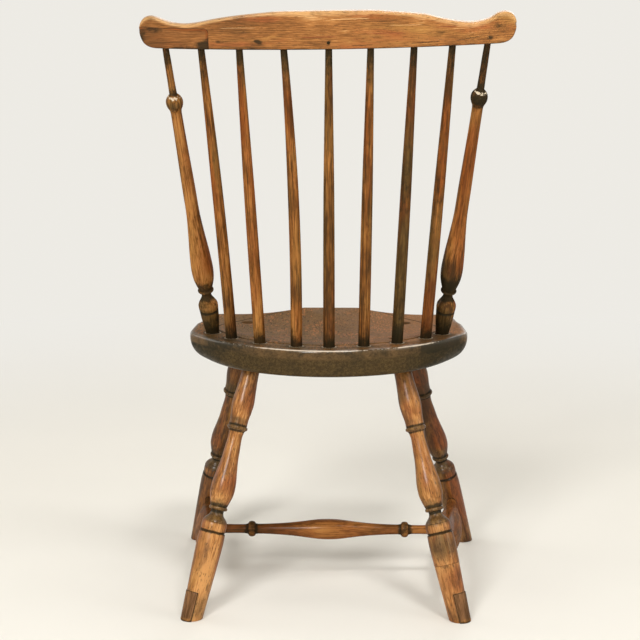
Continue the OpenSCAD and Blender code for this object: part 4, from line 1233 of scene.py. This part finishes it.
# Tone, seed and own tints of each leg; the front legs' low tones are painted shade
LEG_LOOKS = {
    "rear_left": (0.86, 5.5, [(350, 30, 150, 0.8), (215, 24, 130, 0.8), (190, 12, 60, 0.4),
                              (250, 30, 20, -0.4), (100, 40, 30, 0.4), (20, 22, 140, -0.7)]),
    "rear_right": (0.76, 6.2, [(355, 24, 60, -0.6), (325, 22, 120, 0.6), (196, 22, 90, 0.7),
                               (215, 30, 10, -0.5), (270, 30, 60, 0.4), (118, 26, 90, -0.7)]),
    "front_left": (0.26, 7.7, [(330, 40, 90, -0.3), (200, 30, 60, 0.5)]),
    "front_right": (-0.06, 8.8, [(200, 80, 150, 0.9), (80, 60, 150, 0.8), (330, 40, 90, 0.5)])}


class CHAIR_OT_legs(Operator):
    """Adds the four turned legs, cut to the floor and to the top of the seat, and the pieced foot."""

    bl_idname = "chair.legs"
    bl_label = "Turned legs"

    def execute(self, context):
        for tag, leg, side in LEGS:
            level, seed, tints = LEG_LOOKS[tag]
            line = leg_line(leg, side)
            length = line_length(line)
            profile = leg_profile(length)
            pieced = tag == "rear_right"

            def tone(s, phi, level=level):
                # Darker toward both sides of the leg, more on its left: painted shade along the edges.
                painted_side_shade = 0.30 * np.clip(np.cos(phi), 0, 1) ** 3 + 0.24 * np.clip(-np.cos(phi), 0, 1) ** 3
                return level + 0.10 * (1 - ease(s, 100, 136)) + 0.06 * np.cos(s / 37 + phi * 2) \
                    - 0.10 * ease(s, 355, 400) - painted_side_shade - 0.34 * bell(s, 163, 9)

            def tip_tone(s, phi):
                return 0.98 - 0.40 * ease(-s, -34, -18) + 0.05 * np.cos(s / 9)

            options = dict(around=context.scene.chair_shape.around, dark=LEG_DARK, light=LEG_LIGHT,
                           dull_end=True)
            span = (TIP_H + 0.15 if pieced else 0.0, length * SEAT_H / SEAT_BOTTOM + 6)
            piece = lathe(f"turned_leg_{tag}", line, profile, seed, start=None if pieced else floor_cut,
                          finish=deck_cut, span=span, arris=0.35 if pieced else 1.0, tone=tone,
                          tints=tints + LEG_TINTS, **options)
            dress(piece, "old_leg", "leg", f"leg_{tag}")
            if pieced:
                tip = lathe("turned_foot_tip_right", line, profile, seed + 9, start=floor_cut, arris=1.0,
                            span=(0.0, TIP_H - 0.1), tone=tip_tone, tints=TIP_TINTS, **options)
                dress(tip, "old_leg", "leg", "foot_tip_right")
        return {"FINISHED"}


class CHAIR_OT_foot_patches(Operator):
    """Adds the pieces let into the rear feet: part of a turning outside a flat bed, a little proud."""

    bl_idname = "chair.foot_patches"
    bl_label = "Foot patches"

    def execute(self, context):
        for (name, side), seed in zip(SIDES, (1.9, 4.4)):
            foot, head = leg_line(REAR_LEG, side)
            d = unit(head - foot)
            face = np.array([side * np.cos(FOOT_PATCH_TURN), np.sin(FOOT_PATCH_TURN), 0.0])
            e1 = unit(face - d * (face @ d))
            e2 = np.cross(d, e1)
            s = np.r_[0, 0.4, 1.0, np.linspace(3, FOOT_PATCH_H - 1, 16), FOOT_PATCH_H - 0.4, FOOT_PATCH_H]
            trim = np.r_[0.8, 0.25, np.zeros(len(s) - 4), 0.25, 0.8]
            r = np.interp(s, [-12, FOOT_PATCH_H + 12], [16.7, 19.4]) - trim
            swing = np.arccos(FOOT_PATCH_IN / r)
            a = swing[:, None] * np.linspace(-1, 1, 33)
            arc = np.stack([r[:, None] * np.cos(a), r[:, None] * np.sin(a)], -1)
            bed = mix(arc[:, -1:], arc[:, :1], np.linspace(0, 1, 12)[None, 1:-1, None])
            loop = np.concatenate([arc, bed], 1)
            offset = e1 * loop[..., :1] + e2 * loop[..., 1:]
            near = np.clip(1 - s / 25, 0, 1)[:, None]
            stations = s[:, None] - near * offset[..., 2] / d[2]
            edge = np.minimum(np.minimum(loop[..., 0] - FOOT_PATCH_IN, FOOT_PATCH_H - s[:, None]), 30)
            fields = {
                "grain": np.concatenate([loop, stations[..., None]], -1) * 0.001 + 0.21 * seed,
                "tone": np.full(edge.shape, 0.46),
                # Darker along the patch's edges, a dark joint that is partly painted shade at its proud step,
                # and darker at its foot.
                "grime": np.clip(0.85 * np.exp(-edge / 1.3) + 0.25 * np.exp(-stations / 5), 0, 1),
                "worn": np.clip(0.5 * np.exp(-stations / 4) + 0.2, 0, 1)}
            piece = tube(f"foot_patch_{name}_let_in", foot + d * stations[..., None] + offset, fields)
            dress(piece, "old_repair", "repair", f"foot_patch_{name}")
        return {"FINISHED"}


# Stretchers


class CHAIR_OT_stretchers(Operator):
    """Adds the two side stretchers and the ringed centre stretcher of the H."""

    bl_idname = "chair.stretchers"
    bl_label = "Stretchers"

    def execute(self, context):
        middles = []
        for (name, side), seed in zip(SIDES, (11.3, 12.9)):
            line = leg_at(REAR_LEG, side, STRETCHER_H), leg_at(FRONT_LEG, side, STRETCHER_H)
            length = line_length(line)
            middles.append((line[0] + line[1]) / 2)
            dark = [(22, 14, 0.6), (length - 22, 14, 0.6), (length / 2, 14, 0.15)]
            piece = lathe(f"side_stretcher_{name}", line, side_profile(length), seed, 64, tone=0.42,
                          dark=dark, light=[(length / 2, 70, 0.25)])
            dress(piece, "old_stretcher", "stretcher", f"stretcher_{name}")
        length = line_length(middles)
        half = length / 2
        dark = [(half - 126, 11, 0.55), (half + 126, 11, 0.55), (22, 22, 0.5), (length - 22, 22, 0.5)]

        # Darker over the left half of the stretcher: painted shade.
        def tone(s, phi):
            return 0.62 - 0.34 * ease(half - s, 10, 70)

        piece = lathe("ringed_centre_stretcher", middles, centre_profile(length), 14.2, 64, tone=tone,
                      dark=dark, light=[(half, 60, 0.3)])
        dress(piece, "old_stretcher", "stretcher", "stretcher_centre")
        return {"FINISHED"}


# Wedges

# Half width of a wedge's end, its depth below the surface, and the height of its dome
WEDGE_HALF_W, WEDGE_DEPTH, WEDGE_DOME = 1.4, 6.0, 0.25


def wedge(name, middle, way, normal, half_l):
    """A thin wedge end lying on a surface: a rounded rectangle carried through a low dome."""
    across = unit(np.cross(normal, way))
    a = np.linspace(0, 2 * np.pi, 40, endpoint=False)
    turn = np.stack([np.cos(a), np.sin(a)], -1)
    box = np.sign(turn) * np.abs(turn) ** 0.25 * [half_l, WEDGE_HALF_W]
    shrink = np.array([1.0, 1.0, 0.93, 0.7])[:, None, None]
    rise = np.array([-WEDGE_DEPTH, 0.5 * WEDGE_DOME, 0.9 * WEDGE_DOME, WEDGE_DOME])[:, None, None]
    flat = box * shrink
    local = np.concatenate([flat, np.repeat(rise, len(a), 1)], -1)
    points = middle + way * local[..., :1] + across * local[..., 1:2] + normal * local[..., 2:]
    shape = points.shape[:2]
    fields = {"grain": (local + middle) * 0.001, "grime": np.full(shape, 0.35), "worn": np.zeros(shape),
              "tone": np.full(shape, 0.4)}
    return tube(name, points, fields, crease=50)


class CHAIR_OT_wedges(Operator):
    """Adds the ends of the wedges in the leg tenons on top of the seat and in the post tenons under it."""

    bl_idname = "chair.wedges"
    bl_label = "Wedges"

    def execute(self, context):
        for tag, leg, side in LEGS:
            foot, head = leg_line(leg, side)
            d = unit(head - foot)
            p = foot + d * (SEAT_H / d[2])
            for _ in range(5):
                p = p + d * (deck(p[0], p[1]) - p[2]) / d[2]
            slope_x = (deck(p[0] + 1, p[1]) - deck(p[0] - 1, p[1])) / 2
            slope_y = (deck(p[0], p[1] + 1) - deck(p[0], p[1] - 1)) / 2
            normal = unit(np.array([-slope_x, -slope_y, 1.0]))
            way = np.array([-d[1], d[0], 0.0])
            way = unit(way - normal * (way @ normal))
            piece = wedge(f"leg_wedge_{tag}", p + normal * shape_mm("proud"), way, normal, 9.6)
            dress(piece, "dark_wedge", "wedge", "leg_wedges")
        for tag, side in SIDES:
            foot, head = post_line(side)
            d = unit(head - foot)
            p = foot - d * (SEAT_T + TENON_LOW) / d[2]
            way = unit(np.array([-d[1], d[0], 0.0]))
            piece = wedge(f"post_wedge_{tag}", p, way, np.array([0.0, 0.0, -1.0]), 8.4)
            dress(piece, "dark_wedge", "wedge", "stile_wedges")
        return {"FINISHED"}


# Stage

# Place and direction of the camera, and where the lamps point
CAMERA_AT, CAMERA_WAY = (-0.0445, 2.9608, 0.9680), Vector((0.01876, -0.98432, -0.17538))
LAMP_AIM = Vector((0, 0, 0.5))


def pale_paper(studio):
    """Mottled pale paper, which glows in the backdrop's colour where it lies far from the chair."""
    material, tree = new_material("pale_paper")
    place = tree.node("ShaderNodeTexCoord", None, None, 3)
    mottle = noise(tree, place, 1.3, 2)
    shade = mottle.step(0.3, 0.7).blend(faded(studio.floor, 0.97), tuple(studio.floor))
    shader = tree.node("ShaderNodeBsdfPrincipled", None, {"Base Color": shade, "Roughness": 0.9})
    apart = vector_math(tree, "LENGTH", place, output=1)
    rays = tree.node("ShaderNodeLightPath")
    for way in ("Is Glossy Ray", "Is Transmission Ray"):
        rays = tree.maths("MAXIMUM", rays, tree.node("ShaderNodeLightPath", None, None, way))
    seen = rays * apart.step(0.7, 2.6)
    glow = tree.node("ShaderNodeEmission", None, {0: colour(tuple(studio.backdrop)), 1: 1.0})
    mixed = tree.node("ShaderNodeMixShader", None, {0: seen, 1: shader, 2: glow})
    tree.node("ShaderNodeOutputMaterial", None, {0: mixed})
    return material


def aim(data, where, way):
    """An object for a lamp or the camera at a place, looking along a direction."""
    item = bpy.data.objects.new(data.name, data)
    item.location = where
    item.rotation_euler = way.to_track_quat("-Z", "Y").to_euler()
    bpy.context.scene.collection.objects.link(item)
    return item


class CHAIR_OT_stage(Operator):
    """Adds the pale floor and backdrop, soft lamps and the camera."""

    bl_idname = "chair.stage"
    bl_label = "Stage"

    def execute(self, context):
        studio = context.scene.chair_studio
        a = np.linspace(0, 2 * np.pi, 96, endpoint=False)
        radii = np.array([0.001, 1.0, 2.0, 3.0, 4.2, 5.4, 6.0, 6.4, 6.6])[:, None]
        lift = np.array([0, 0, 0, 0, 0, 0.1, 0.5, 1.6, 6.0])[:, None]
        rings = np.stack([radii * np.cos(a), radii * np.sin(a), np.repeat(lift, len(a), 1)], -1) * 1000
        at = np.arange(radii.size * a.size).reshape(-1, a.size)
        quads = np.stack([at[:-1], at[1:], np.roll(at[1:], -1, 1), np.roll(at[:-1], -1, 1)], -1)
        floor = build_mesh("pale_floor", rings.reshape(-1, 3), [quads.reshape(-1, 4), at[:1]], {}, 60)
        floor.data.materials.append(pale_paper(studio))
        lamps = (("key", (1.33, 4.13, 2.74), 1.26, studio.key),
                 ("top", (-0.7, 1.82, 3.3), 0.7, studio.key * 0.30),
                 ("right", (-3.64, 1.68, 1.9), 1.96, studio.fill),
                 ("front", (-0.84, -4.2, 2.32), 2.52, studio.fill * 1.5),
                 ("left", (3.64, -1.4, 1.76), 2.24, studio.fill * 0.8))
        for name, where, size, power in lamps:
            data = bpy.data.lights.new(name + "_lamp", "AREA")
            data.shape, data.size, data.energy = "DISK", size, power
            aim(data, where, LAMP_AIM - Vector(where))
        world = bpy.data.worlds.new("even_light")
        world.use_nodes = True
        background = world.node_tree.nodes["Background"].inputs
        background[0].default_value = (1.0, 0.985, 0.96, 1)
        background[1].default_value = studio.sky
        context.scene.world = world
        data = bpy.data.cameras.new("photo_camera")
        data.lens, data.sensor_width = studio.lens, 36
        context.scene.camera = aim(data, CAMERA_AT, CAMERA_WAY)
        context.scene.view_settings.view_transform = "Standard"
        return {"FINISHED"}


OPERATORS = (CHAIR_OT_stage, CHAIR_OT_seat, CHAIR_OT_crest_rail, CHAIR_OT_crest_patch, CHAIR_OT_crest_pegs,
             CHAIR_OT_posts, CHAIR_OT_spindles, CHAIR_OT_legs, CHAIR_OT_foot_patches, CHAIR_OT_stretchers,
             CHAIR_OT_wedges)


class CHAIR_PT_panel(Panel):
    """Lists the chair's pieces and settings."""

    bl_idname = "CHAIR_PT_panel"
    bl_label = "Fan back Windsor chair"
    bl_space_type = "VIEW_3D"
    bl_region_type = "UI"
    bl_category = "Chair"

    def draw(self, context):
        for operator in OPERATORS:
            self.layout.operator(operator.bl_idname)
        for group in (context.scene.chair_shape, context.scene.chair_finish, context.scene.chair_studio):
            column = self.layout.column()
            for key in group.__annotations__:
                column.prop(group, key)


GROUPS = (("chair_shape", ChairShape), ("chair_finish", ChairFinish), ("chair_studio", ChairStudio))


def register():
    for name, group in GROUPS:
        bpy.utils.register_class(group)
        setattr(bpy.types.Scene, name, PointerProperty(type=group))
    for item in OPERATORS + (CHAIR_PT_panel,):
        bpy.utils.register_class(item)


def unregister():
    for item in (CHAIR_PT_panel,) + OPERATORS[::-1]:
        bpy.utils.unregister_class(item)
    for name, group in GROUPS[::-1]:
        delattr(bpy.types.Scene, name)
        bpy.utils.unregister_class(group)


def main():
    register()
    for operator in OPERATORS:
        family, name = operator.bl_idname.split(".")
        getattr(getattr(bpy.ops, family), name)()
    bpy.context.view_layer.update()


if __name__ == "__main__":
    main()
